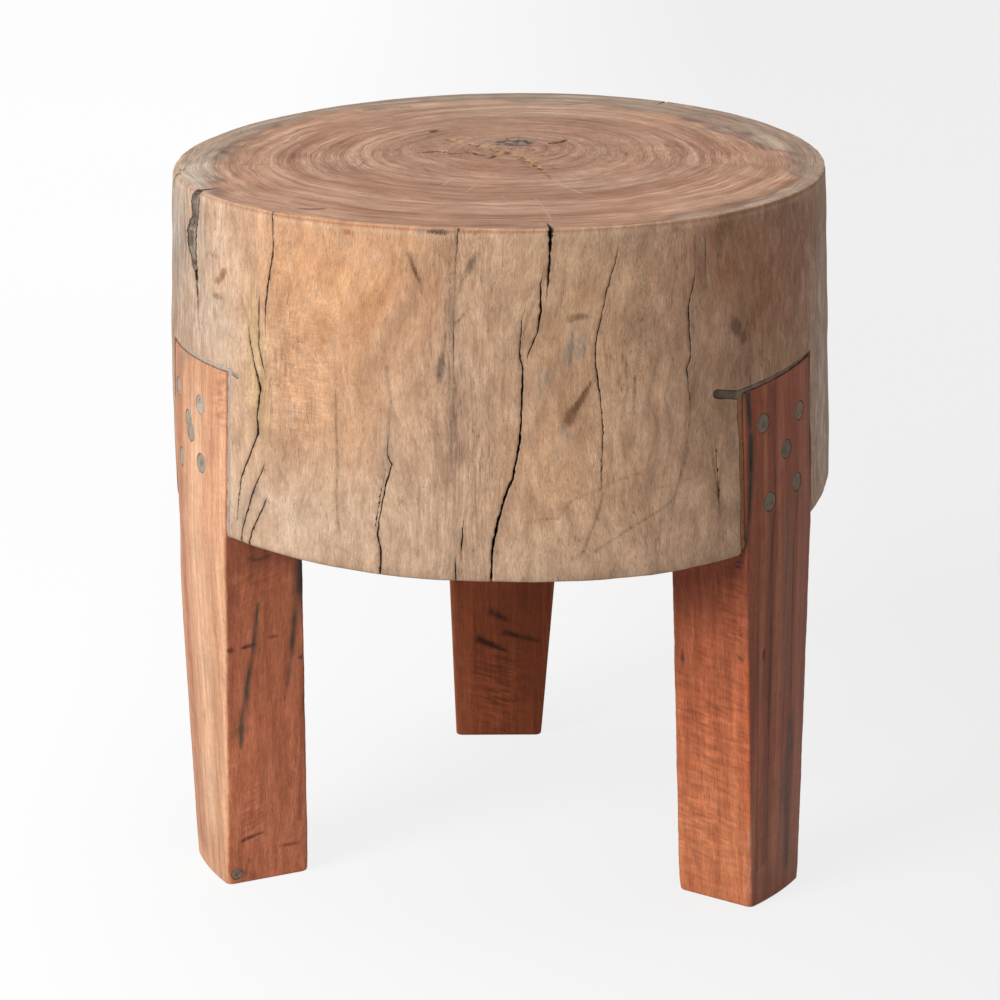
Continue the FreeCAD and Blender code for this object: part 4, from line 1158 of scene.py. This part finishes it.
def outer_crown(leg):
    """The radius and middle of the round that a leg's outer face follows at the log's underside."""
    offsets = np.array([head_span(leg)[0], sum(head_span(leg)) / 2, head_span(leg)[1]])
    reaches = scribe_reach(leg, offsets, underside)
    system = np.column_stack([2 * reaches, 2 * offsets, np.ones(3)])
    u, v, rest = np.linalg.solve(system, reaches ** 2 + offsets ** 2)
    return math.sqrt(rest + u * u + v * v), np.array([u, v])


def outer_reach(leg, across, height):
    """How far out a leg's outer face lies, flush with the log above and set to the foot below."""
    radius, middle = outer_crown(leg)
    centre_line = sum(head_span(leg)) / 2
    lean = scribe_reach(leg, centre_line, head_top) - scribe_reach(leg, centre_line, underside)
    foot = np.array([log_radius + foot_set * leg["foot_outer"] - radius, 0.0])
    up = height / underside
    shank_u, shank_v = foot[0] + (middle[0] - foot[0]) * up, foot[1] + (middle[1] - foot[1]) * up
    head_u = middle[0] + lean * (height - underside) / head_rise

    def crown(u, v):
        return u + np.sqrt(np.maximum(radius ** 2 - (across - v) ** 2, 1.0))

    worn = leg["hollow"] * hump(height - underside, -5, 36) * ramp(-across, 0, 30)
    return np.minimum(crown(shank_u, shank_v), crown(head_u, middle[1])) - worn


def leg_sides(leg, height):
    """Where a leg's inner, low and high faces lie at some heights."""
    up = np.clip(height / underside, 0, 1)
    foot_inner = housing_floor(leg) + foot_draw * leg["foot_inner"]
    inner = foot_inner + (housing_floor(leg) - foot_inner) * up
    low, high = (foot_width * foot + (head - foot_width * foot) * up
                 for foot, head in zip(leg["foot"], head_span(leg)))
    return inner, low, high


def leg_mesh(leg, seed):
    """A leg as rings of points up its length, with worn arrises and an eased foot."""
    rows = np.concatenate([[0, 0.3, 0.9, 1.8, 2.9, 4.2], np.arange(5.8, underside - 2, leg_pitch),
                           [underside - 1.2, underside, underside + 1.2],
                           np.arange(underside + 2.8, head_top - 1.5, leg_pitch), [head_top - 0.6, head_top]])
    ease = foot_ease * round_over(1 - rows / foot_ease)
    inner, low, high = leg_sides(leg, rows)
    inner, low, high = inner + ease, low + ease, high - ease
    wear = [arris_wear + 0.5 * wander(rows, 60, seed + k) + 0.2 * wander(rows, 9, seed + 9 + k)
            for k in range(4)]
    wear = [np.clip(w + foot_wear * np.exp(-rows / 6), 0.5, 4) for w in wear]
    bend = np.linspace(0, math.pi / 2, 5)[1:-1]
    ring = []

    def level(v):
        """How high the rows lie across the leg. They close up under a head that is sawn at a slant."""
        return rows + np.clip((rows - underside) / head_rise, 0, 1) * (head_line(leg, v) - head_top)

    def put(u, v):
        """Adds one column of points up the leg."""
        ring.append(np.stack([u, v, level(v)], -1))

    def face(v, dip=0.0):
        """How far out the outer face lies, less the foot's ease and a dip."""
        return outer_reach(leg, v, level(v)) - ease - dip

    for t in np.linspace(0, 1, inner_columns):
        put(inner, high - wear[0] + (low + wear[1] - high + wear[0]) * t)
    for t in bend:
        put(inner + wear[1] * (1 - np.cos(t)), low + wear[1] * (1 - np.sin(t)))
    for t in np.linspace(0, 1, cheek_columns):
        start, end = inner + wear[1], face(low) - wear[2]
        put(start + (end - start) * t, low)
    for t in bend:
        v = low + wear[2] * (1 - np.cos(t))
        put(face(v, wear[2] * (1 - np.sin(t))), v)
    for t in np.linspace(0, 1, outer_columns):
        v = low + wear[2] + (high - wear[3] - low - wear[2]) * t
        put(face(v), v)
    for t in bend:
        v = high - wear[3] * (1 - np.sin(t))
        put(face(v, wear[3] * (1 - np.cos(t))), v)
    for t in np.linspace(0, 1, cheek_columns):
        start, end = face(high) - wear[3], inner + wear[0]
        put(start + (end - start) * t, high)
    for t in bend:
        put(inner + wear[0] * (1 - np.sin(t)), high - wear[0] * (1 - np.cos(t)))
    ring = np.stack(ring, 1)
    columns = ring.shape[1]
    points = on_leg(leg, ring[..., 0], ring[..., 1], ring[..., 2]).reshape(-1, 3)
    ids = np.arange(len(points)).reshape(len(rows), columns)
    around = np.roll(ids, -1, 1)
    faces = np.stack([ids[:-1], around[:-1], around[1:], ids[1:]], -1).reshape(-1, 4).tolist()
    return points, faces + [ids[0][::-1].tolist(), ids[-1].tolist()]


def bore_places(leg, shares):
    """Where bores go through a head, across the leg and up, from shares of its width and rise."""
    low, high = head_span(leg)
    return [((low + high) / 2 + (high - low) * across, underside + head_rise * up) for across, up in shares]


def leg_face_of(leg, points):
    """For points on a leg: out, across, up, and how far each lies from the four faces."""
    along, aside = leg_frame(leg)
    u, v, z = points @ along, points @ aside, points[:, 2]
    inner, low, high = leg_sides(leg, z)
    return u, v, z, np.abs([u - inner, v - low, u - outer_reach(leg, v, z), v - high])


def leg_tone(name, points):
    """A leg's wood colour before the grain: streaks, painted shade and light, worn arrises with a painted
    highlight, sharper marks.
    """
    leg = legs[name]
    u, v, z, gaps = leg_face_of(leg, points)
    near = np.exp(-(gaps / 1.1) ** 2) + 1e-4 / (1 + gaps ** 2)
    near = near / near.sum(0)
    colours = sum(near[k][:, None] * np.asarray(tone) for k, tone in enumerate(leg_tones[name]))
    bands = mottle(points, (11, 11, 400), 50) * 0.5 + mottle(points, (5, 5, 260), 51) * 0.35
    # Painted light and shade on the two side faces: paler towards the floor, darker up under the drum.
    painted_light_gradient = 0.16 - 0.30 * np.clip(z / underside, 0, 1)
    colours = colours * (1 + 0.14 * bands + (near[1] + near[3]) * painted_light_gradient)[:, None]
    # Painted shade under the drum: all but the outer face drawn towards wine just below the log.
    shaded = ramp(z - underside, -30, 30) * (z < underside + 0.5)
    colours = blend_in(colours, 0.3 * shaded * (near[2] < 0.5), wine)
    # Paler arrises: partly wear, partly a painted highlight.
    from_arris = np.sort(gaps, 0)[1]
    colours = blend_in(colours, 0.4 * hump(from_arris, 0, 1.6) * (z < head_top - 8), colours * 1.3)
    spare = np.clip(1 + 0.25 * mottle(points, (6, 6, 20), 52), 0.5, 1.4)

    def place_by(face, line):
        """How far points lie from a line on a face, how far along it, and whether they are on that face."""
        gap, along = line_distance(np.column_stack([v if face in ("outer", "inner") else u, z]), line)
        return gap, along, gaps[face_names.index(face)] < face_margin

    for face, line, (start, end), colour, strength in leg_shades[name]:
        gap, along, on_face = place_by(face, line)
        share = np.exp(-0.9 * (gap / (start + (end - start) * along)) ** 2)
        colours = blend_in(colours, strength * share * on_face * spare, colour)
    marks = np.zeros((len(points), 4))
    for face, line, half_width, colour, strength in leg_marks[name]:
        gap, along, on_face = place_by(face, line)
        taper = 0.55 + 0.45 * np.sin(math.pi * np.clip(along, 0.04, 0.96))
        inside = np.where(on_face, half_width * taper - gap, -9)
        put_mark(marks, colours, inside, half_width, colour, strength)
    return colours, marks


def leg_ripple(name, points):
    """How strongly a leg's grain is rippled, and how far up the ripple each point is, in metres."""
    u, v, z, gaps = leg_face_of(legs[name], points)
    amount = np.full(len(points), 0.12)
    for face, at, height, across, rise, strength in leg_ripples[name]:
        where = v if face in ("outer", "inner") else u
        far = ((where - at) / across) ** 2 + ((z - height) / rise) ** 2
        on_face = gaps[face_names.index(face)] < face_margin
        amount = np.maximum(amount, strength * np.exp(-far) * on_face)
    out_climb, across_climb = ripple_climbs[name]
    return amount, (z + out_climb * u + across_climb * v) * 0.001


def leg_finish():
    """Oiled red hardwood: straight grain and pores along the leg, with a fine ripple across it in places."""
    wood = Finish("red hardwood")
    fibre = wood.grain((0.9, 0.9, 16), 4.0, 0.62, 0.2)
    fine = wood.grain((0.6, 0.6, 2.4), 2.0, 0.6)
    pores = wood.grain((0.8, 0.8, 11), 1.0, 0.5)
    band = wood.grain((4.5, 4.5, 240), 4.0, 0.66)
    cloud = wood.grain((24, 24, 40), 3.0, 0.6, 0.5)
    flat = wood.add("ShaderNodeSeparateXYZ", {0: wood.place}).outputs
    climbing = {"X": flat["X"], "Y": flat["Y"], "Z": wood.stored("climb")}
    climb = wood.add("ShaderNodeCombineXYZ", climbing).outputs["Vector"]
    ripple = wood.rippled(wood.grain((14, 14, 2.9), 2.0, 0.55, 0.4, climb))
    colour = wood.marked(wood.stored("tone", "Color"), fibre, 0.18)
    colour = wood.shaded(colour, fibre, 0.34, 0.66, 0.82, 1.15)
    colour = wood.shaded(colour, fine, 0.3, 0.7, 0.90, 1.10)
    colour = wood.shaded(colour, pores, 0.64, 0.74, 1.0, 0.70)
    colour = wood.tinted(colour, band, (0.82, 0.75, 0.72), (1.10, 1.13, 1.13))
    colour = wood.shaded(colour, cloud, 0.35, 0.65, 0.92, 1.06)
    colour = wood.shaded(colour, ripple, -0.17, 0.17, 0.67, 1.24)
    rough = wood.span(fibre, 0.3, 0.7, 0.5, 0.68)
    height = wood.maths("ADD", fibre, wood.maths("MULTIPLY", ripple, 1.4))
    return wood.done(colour, rough, height, 0.25, 0.4, 0.18)


def circle(radius, count=28):
    """Points round a circle."""
    turn = np.linspace(0, 2 * math.pi, count + 1)[:-1]
    return radius * np.column_stack([np.cos(turn), np.sin(turn)])


def bore_rods(leg, shares):
    """The counterbores through a head, as rods to cut away."""
    rim, start = circle(plug_diameter / 2), housing_floor(leg) + screw_grip
    return joined(prism(leg, rim + place, start, past_round) for place in bore_places(leg, shares))


def knot_rod(leg):
    """The hole that a knot has left in the side of a foot."""
    rim = circle(knot_radius)
    out = log_radius + foot_set * leg["foot_outer"] - knot_inset + rim[:, 0]
    face = leg_sides(leg, knot_rise)[2]
    floor_and_mouth = face - knot_depth, face + knot_overrun
    ends = [on_leg(leg, out, across, knot_rise - rim[:, 1]) for across in floor_and_mouth]
    return np.concatenate(ends), prism_faces(len(rim))


red_hardwood = leg_finish()
for number, (name, leg) in enumerate(legs.items()):
    post = new_piece(name + "_red_leg", *leg_mesh(leg, 400 + 20 * number))
    cut_away(post, *bore_rods(leg, leg["screws"]))
    if leg["stray"]:
        cut_away(post, *bore_rods(leg, leg["stray"]))
    if name == "front_left":
        cut_away(post, *knot_rod(leg))
    points = places(post)
    tones, marks = leg_tone(name, points)
    ripple, climb = leg_ripple(name, points)
    for key, values in dict(tone=tones, mark=marks, ripple=ripple, climb=climb).items():
        mark_points(post, key, values)
    post.data.materials.append(red_hardwood)
    soften(post, 40)
    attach(post, "root")
    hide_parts(name + "_leg")

# Screws
# Flat-headed steel screws, five through each leg's head into the log, seated on the counterbores' floors.
# The plugs cover them, so they keep their plain solids and take only a finish.


def steel_finish():
    """Zinc plated steel, slightly clouded."""
    steel = Finish("zinc plated steel")
    cloud = steel.grain((3, 3, 3), 3.0, 0.6)
    colour = steel.between(cloud, (0.42, 0.42, 0.41), (0.60, 0.60, 0.58), 0.35, 0.65)
    steel.shader.inputs["Metallic"].default_value = 1.0
    return steel.done(colour, steel.span(cloud, 0.3, 0.7, 0.3, 0.5), cloud, 0.1, 0.1, 0.5)


screw_steel = steel_finish()
for name in legs:
    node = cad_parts[name + "_screws"]
    node.data.materials.clear()
    node.data.materials.append(screw_steel)

# Plugs and knot
# Grey wood filler pressed into the counterbores over the screws, and into a knot hole in the front left foot.
# It shrank as it dried, so each plug lies a little low, with a dark rim and chipped spots.
plug_tones = dict(front_left=(0.37, 0.30, 0.24), front_right=(0.26, 0.195, 0.145), rear=(0.30, 0.235, 0.18))
knot_tone = (0.29, 0.225, 0.165)
plug_depth, plug_sink = 6.0, 0.12

# A plug's rings from its middle to its rim: share of its radius, how low it lies and how dark it is there
plug_rings = [(0.25, 0, 0), (0.5, 0, 0), (0.72, 0, 0), (0.86, 0.02, 0.1), (0.95, 0.1, 0.6), (1.0, 0.35, 0.9)]


def filler_finish():
    """Grey filler: gritty, clouded, and with a few dark specks."""
    filler = Finish("grey wood filler")
    grit = filler.grain((0.9, 0.9, 0.9), 4.0, 0.65)
    cloud = filler.grain((4, 4, 7), 3.0, 0.6)
    specks = filler.grain((1.6, 1.6, 1.6), 1.0, 0.5)
    colour = filler.shaded(filler.stored("tone", "Color"), grit, 0.3, 0.7, 0.8, 1.18)
    colour = filler.shaded(colour, cloud, 0.3, 0.7, 0.84, 1.14)
    colour = filler.shaded(colour, specks, 0.66, 0.74, 1.0, 0.5)
    height = filler.maths("ADD", grit, cloud)
    return filler.done(colour, filler.span(grit, 0.3, 0.7, 0.75, 0.95), height, 0.4, 0.4, 0.2)


def plug_disc(centres, radius, seed):
    """An uneven disc over one bore or two that run together: its places, and how low and dark they are."""
    chance = np.random.default_rng(seed)
    centres = np.asarray(centres)
    middle = centres.mean(0)
    turn = np.linspace(0, 2 * math.pi, 41)[:-1]
    way = np.column_stack([np.cos(turn), np.sin(turn)])
    offset = centres - middle
    along = way @ offset.T
    edge = (along + np.sqrt(radius ** 2 - (offset ** 2).sum(1) + along ** 2)).max(1)
    edge = edge - 0.12 - 0.2 * np.abs(wander(turn, 2 * math.pi / 3, seed))
    torn = np.clip(0.45 + 0.8 * wander(turn, 2 * math.pi, seed + 1), 0.1, 1)
    spots, sinks, darks = [], [], []
    for share, sink, dark in plug_rings:
        spots.append(middle + way * (edge * share)[:, None])
        sinks.append(np.full(len(turn), sink))
        darks.append(dark * torn)
    spots = np.concatenate([middle[None], *spots])
    sinks = np.concatenate([[0], *sinks]) + plug_sink
    darks = np.concatenate([[0], *darks])
    for _ in range(3):
        chip = middle + chance.normal(0, radius * 0.5, 2)
        near = np.exp(-(np.hypot(*(spots - chip).T) / chance.uniform(0.9, 1.7)) ** 2)
        sinks, darks = sinks + 0.3 * near, np.maximum(darks, chance.uniform(0.2, 0.8) * near)
    return spots, sinks, darks, len(turn)


def plug_shape(surface, spots, sinks, count, depth):
    """A closed plug: the disc on its surface, a wall down the bore, and a floor."""
    outer = surface(spots, sinks)
    floor = surface(spots[-count:], np.full(count, depth))
    points = np.concatenate([outer, floor])
    rings = [np.arange(1 + k * count, 1 + (k + 1) * count) for k in range((len(spots) - 1) // count)]
    rings.append(np.arange(len(outer), len(outer) + count))
    first = rings[0]
    faces = np.stack([np.zeros(count, int), first, np.roll(first, -1)], 1).tolist()
    for inner, outer_ring in zip(rings[:-1], rings[1:]):
        faces += np.stack([inner, outer_ring, np.roll(outer_ring, -1), np.roll(inner, -1)], 1).tolist()
    faces.append(rings[-1][::-1].tolist())
    return points, faces


def plug_colours(tone, darks, count, strength, dark):
    """A plug's colours: dark at its rim and its chips, and down its wall."""
    shares = np.concatenate([darks, np.ones(count)]) * strength
    return blend_in(np.tile(tone, (len(shares), 1)), shares, dark)


grey_filler = filler_finish()
for number, (name, leg) in enumerate(legs.items()):
    spots_of = [[place] for place in bore_places(leg, leg["screws"])]
    for stray in bore_places(leg, leg["stray"]):
        nearest = min(spots_of, key=lambda spot: math.dist(spot[0], stray))
        nearest.append(stray)

    def on_outer(spots, sinks, leg=leg):
        """Points under the leg's outer face."""
        return on_leg(leg, outer_reach(leg, spots[:, 0], spots[:, 1]) - sinks, spots[:, 0], spots[:, 1])

    shapes, tones = [], []
    for k, centres in enumerate(spots_of):
        seed = 500 + 10 * number + k
        spots, sinks, darks, count = plug_disc(centres, plug_diameter / 2, seed)
        shapes.append(plug_shape(on_outer, spots, sinks, count, plug_depth))
        tone = np.array(plug_tones[name]) * np.random.default_rng(seed).uniform(0.85, 1.15)
        tones.append(plug_colours(tone, darks, count, 0.85, (0.07, 0.05, 0.038)))
    plugs = new_piece(name + "_filler_plugs", *joined(shapes))
    mark_points(plugs, "tone", np.concatenate(tones))
    plugs.data.materials.append(grey_filler)
    soften(plugs, 50)
    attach(plugs, "root")
    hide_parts(name + "_screw_plugs")

foot_leg = legs["front_left"]
knot_middle = (log_radius + foot_set * foot_leg["foot_outer"] - knot_inset, knot_rise)


def on_high_face(spots, sinks):
    """Points under the high face of the foot."""
    return on_leg(foot_leg, spots[:, 0], leg_sides(foot_leg, spots[:, 1])[2] - sinks, spots[:, 1])


spots, sinks, darks, count = plug_disc([knot_middle], knot_radius, 577)
points, faces = plug_shape(on_high_face, spots, sinks, count, knot_depth - 1)
knot = new_piece("foot_knot_plug", points, [face[::-1] for face in faces])
mark_points(knot, "tone", plug_colours(knot_tone, darks, count, 0.7, (0.09, 0.06, 0.045)))
knot.data.materials.append(grey_filler)
soften(knot, 50)
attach(knot, "root")
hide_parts("foot_knot_filler")

# Seam filler
# The same grey filler, troweled into the seam over each leg's head, down its open cheek and into the overcut.
# It is rubbed down flush with the log, with ragged dark edges where it has pulled away.
seam_depth, seam_sink, seam_pitch, seam_play, seam_rim = 13.0, 0.45, 1.7, 0.16, 0.75

# The filler's colour over each head and down its cheek, how dark its edges are, and how dark the overcut is
seam_tones = dict(
    front_left=((0.40, 0.33, 0.27), (0.36, 0.305, 0.25), 0.4, 0.15),
    front_right=((0.27, 0.195, 0.145), (0.34, 0.15, 0.08), 0.9, 0.7),
    rear=((0.31, 0.25, 0.2), (0.31, 0.25, 0.2), 0.6, 0.3))


def inset_line(outline, depth):
    """The same outline drawn in by a depth."""
    before, after = np.roll(outline, 1, 0), np.roll(outline, -1, 0)
    way = after - before
    way = way / (np.linalg.norm(way, axis=1)[:, None] + 1e-9)
    return outline + depth * np.column_stack([-way[:, 1], way[:, 0]])


for number, (name, leg) in enumerate(legs.items()):
    outline = rough_line(housing_outline(leg, seam_only=True), seam_pitch, seam_play, 600 + number)
    outline = inset_line(outline, 0.1)
    inner = inset_line(outline, seam_rim)
    count = len(outline)
    edges = [(i, (i + 1) % count) for i in range(count)]
    corners = [Vector(p) for p in np.concatenate([outline, inner])]
    spots, _, cells, _, _, _ = delaunay_2d_cdt(corners, edges, [], 1, 1e-5)
    spots = np.array([tuple(p) for p in spots])
    across, up = spots.T
    gap = np.full(len(spots), 1e9)
    for i, j in edges:
        gap = np.minimum(gap, line_distance(spots, [outline[i], outline[j]])[0])
    flat = np.column_stack([spots, 0 * gap])
    sink = 0.35 + 0.5 * hump(gap, 0, 0.5) + 0.2 * mottle(flat, 9, 610 + number)
    low_draw = log_low_ease * round_over(1 - (up - underside) / log_low_ease)
    sink = seam_sink + np.clip(sink, 0, None) + low_draw
    reach = scribe_reach(leg, across, up)
    face, back = (on_leg(leg, reach - depth, across, up) for depth in (sink, seam_depth))
    faces = [list(cell) for cell in cells] + [[i + len(spots) for i in cell][::-1] for cell in cells]
    sides = [pair for cell in cells for pair in zip(cell, [*cell[1:], cell[0]])]
    shared = {(b, a) for a, b in sides}
    faces += [[b, a, a + len(spots), b + len(spots)] for a, b in sides if (a, b) not in shared]
    seam = new_piece(name + "_troweled_seam", np.concatenate([face, back]), faces)
    seam_tone, cheek_tone, edge_dark, overcut_dark = seam_tones[name]
    torn = np.clip(0.65 + 0.6 * mottle(flat, 14, 620 + number), 0, 1)
    overcut_start = head_span(leg)[max(leg["open_cheek"], 0)] + leg["open_cheek"] * cheek_seam
    in_overcut = ramp(leg["open_cheek"] * (across - overcut_start), 0, 3)
    down_cheek = ramp(head_line(leg, across) - up, 0, 4)
    tones = blend_in(np.tile(seam_tone, (len(spots), 1)), down_cheek, cheek_tone)
    tones = blend_in(tones, in_overcut * overcut_dark, (0.17, 0.115, 0.08))
    dark_reach = 0.45 + 0.45 * in_overcut
    tones = blend_in(tones, hump(gap, 0, dark_reach) * edge_dark * torn, (0.05, 0.036, 0.028))
    mark_points(seam, "tone", np.concatenate([tones, tones * 0.5]))
    seam.data.materials.append(grey_filler)
    soften(seam, 50)
    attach(seam, "root")
    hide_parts(name + "_seam_filler")

# Studio
# A seamless pale floor that runs far behind the table, a large soft lamp from the front left,
# a weak overhead lamp, and pale surroundings that fill the shade. Lamps and camera stand in metres.
floor_side, floor_front, floor_back = 9000, -6000, 14000
floor_corners = [(-floor_side, floor_front, 0), (floor_side, floor_front, 0),
                 (floor_side, floor_back, 0), (-floor_side, floor_back, 0)]
floor = new_piece("studio_floor", floor_corners, [[0, 1, 2, 3]])
paper = Finish("pale paper floor")
nodes, links = paper.tree.nodes, paper.tree.links
spread = paper.add("ShaderNodeSeparateXYZ", {0: paper.place}).outputs
# The floor's glow is painted light: brightest at the left, fading to the right as the key lamp's light falls
# off.
painted_light_falloff = paper.span(spread["X"], -0.34, 0.34, 0.998, 0.868)
grain = paper.grain((900, 900, 900), 2.0, 0.5)
painted_light_falloff = paper.maths("MULTIPLY", painted_light_falloff, paper.span(grain, 0.3, 0.7, 0.997, 1.003))
shine = paper.add("ShaderNodeEmission", {"Color": (1, 1, 1, 1), "Strength": painted_light_falloff})
lit = paper.add("ShaderNodeBsdfDiffuse", {"Color": (0.9, 0.9, 0.9, 1)})
matt = paper.add("ShaderNodeBsdfDiffuse", {"Color": (0.5, 0.5, 0.5, 1)})
path = paper.add("ShaderNodeLightPath").outputs
seen = paper.maths("MAXIMUM", path["Is Camera Ray"], path["Is Glossy Ray"])
seen = paper.maths("MAXIMUM", seen, path["Is Transmission Ray"])
even = paper.span(spread["Y"], 0.4, 1.6, 0.89, 0.975)
bright = paper.add("ShaderNodeMixShader", {0: even, 1: lit.outputs[0], 2: shine.outputs[0]})
blend = paper.add("ShaderNodeMixShader", {0: seen, 1: matt.outputs[0], 2: bright.outputs[0]})
links.new(blend.outputs[0], nodes["Material Output"].inputs["Surface"])
nodes.remove(paper.shader)
floor.data.materials.append(paper.material)

surroundings = bpy.data.worlds.new("pale surroundings")
bpy.context.scene.world = surroundings
surroundings.use_nodes = True
world_nodes, world_links = surroundings.node_tree.nodes, surroundings.node_tree.links
sky = world_nodes["Background"]
sky.inputs["Color"].default_value = (1, 1, 1, 1)
world_path = world_nodes.new("ShaderNodeLightPath").outputs
world_seen = world_nodes.new("ShaderNodeMath")
world_seen.operation = "MAXIMUM"
world_links.new(world_path["Is Camera Ray"], world_seen.inputs[0])
world_links.new(world_path["Is Transmission Ray"], world_seen.inputs[1])
fill = world_nodes.new("ShaderNodeMapRange")
fill.inputs["To Min"].default_value = 0.32
fill.inputs["To Max"].default_value = 1.0
world_links.new(world_seen.outputs[0], fill.inputs["Value"])
world_links.new(fill.outputs["Result"], sky.inputs["Strength"])


def lamp(name, place, aim, size, power):
    """A round soft lamp that faces what it aims at."""
    light = bpy.data.lights.new(name, "AREA")
    light.shape, light.size, light.energy = "DISK", size, power
    holder = bpy.data.objects.new(name, light)
    holder.location = place
    holder.rotation_euler = (Vector(aim) - Vector(place)).to_track_quat("-Z", "Y").to_euler()
    bpy.context.scene.collection.objects.link(holder)


lamp("key_lamp", (-2.02, -1.82, 1.57), (0, 0, 0.3), 1.5, 88)
lamp("overhead_lamp", (0.2, 0.3, 3.0), (0, 0, 0.4), 2.4, 33)

camera = bpy.data.cameras.new("camera")
camera.sensor_fit, camera.sensor_width, camera.lens = "HORIZONTAL", 36.0, 118.76
camera.shift_y = -0.01724
camera.clip_end = 60
camera_place, pitch, roll = (0, -2.0676, 0.8881), 0.3047, -0.0043
forward = Vector((0, math.cos(pitch), -math.sin(pitch)))
right = Vector((1, 0, 0))
up = right.cross(forward)
right, up = right * math.cos(roll) + up * math.sin(roll), up * math.cos(roll) - right * math.sin(roll)
viewer = bpy.data.objects.new("camera", camera)
turned = Matrix((right, up, -forward)).transposed().to_4x4()
viewer.matrix_world = Matrix.Translation(camera_place) @ turned
bpy.context.scene.collection.objects.link(viewer)
bpy.context.scene.camera = viewer
bpy.context.scene.view_settings.view_transform = "Standard"
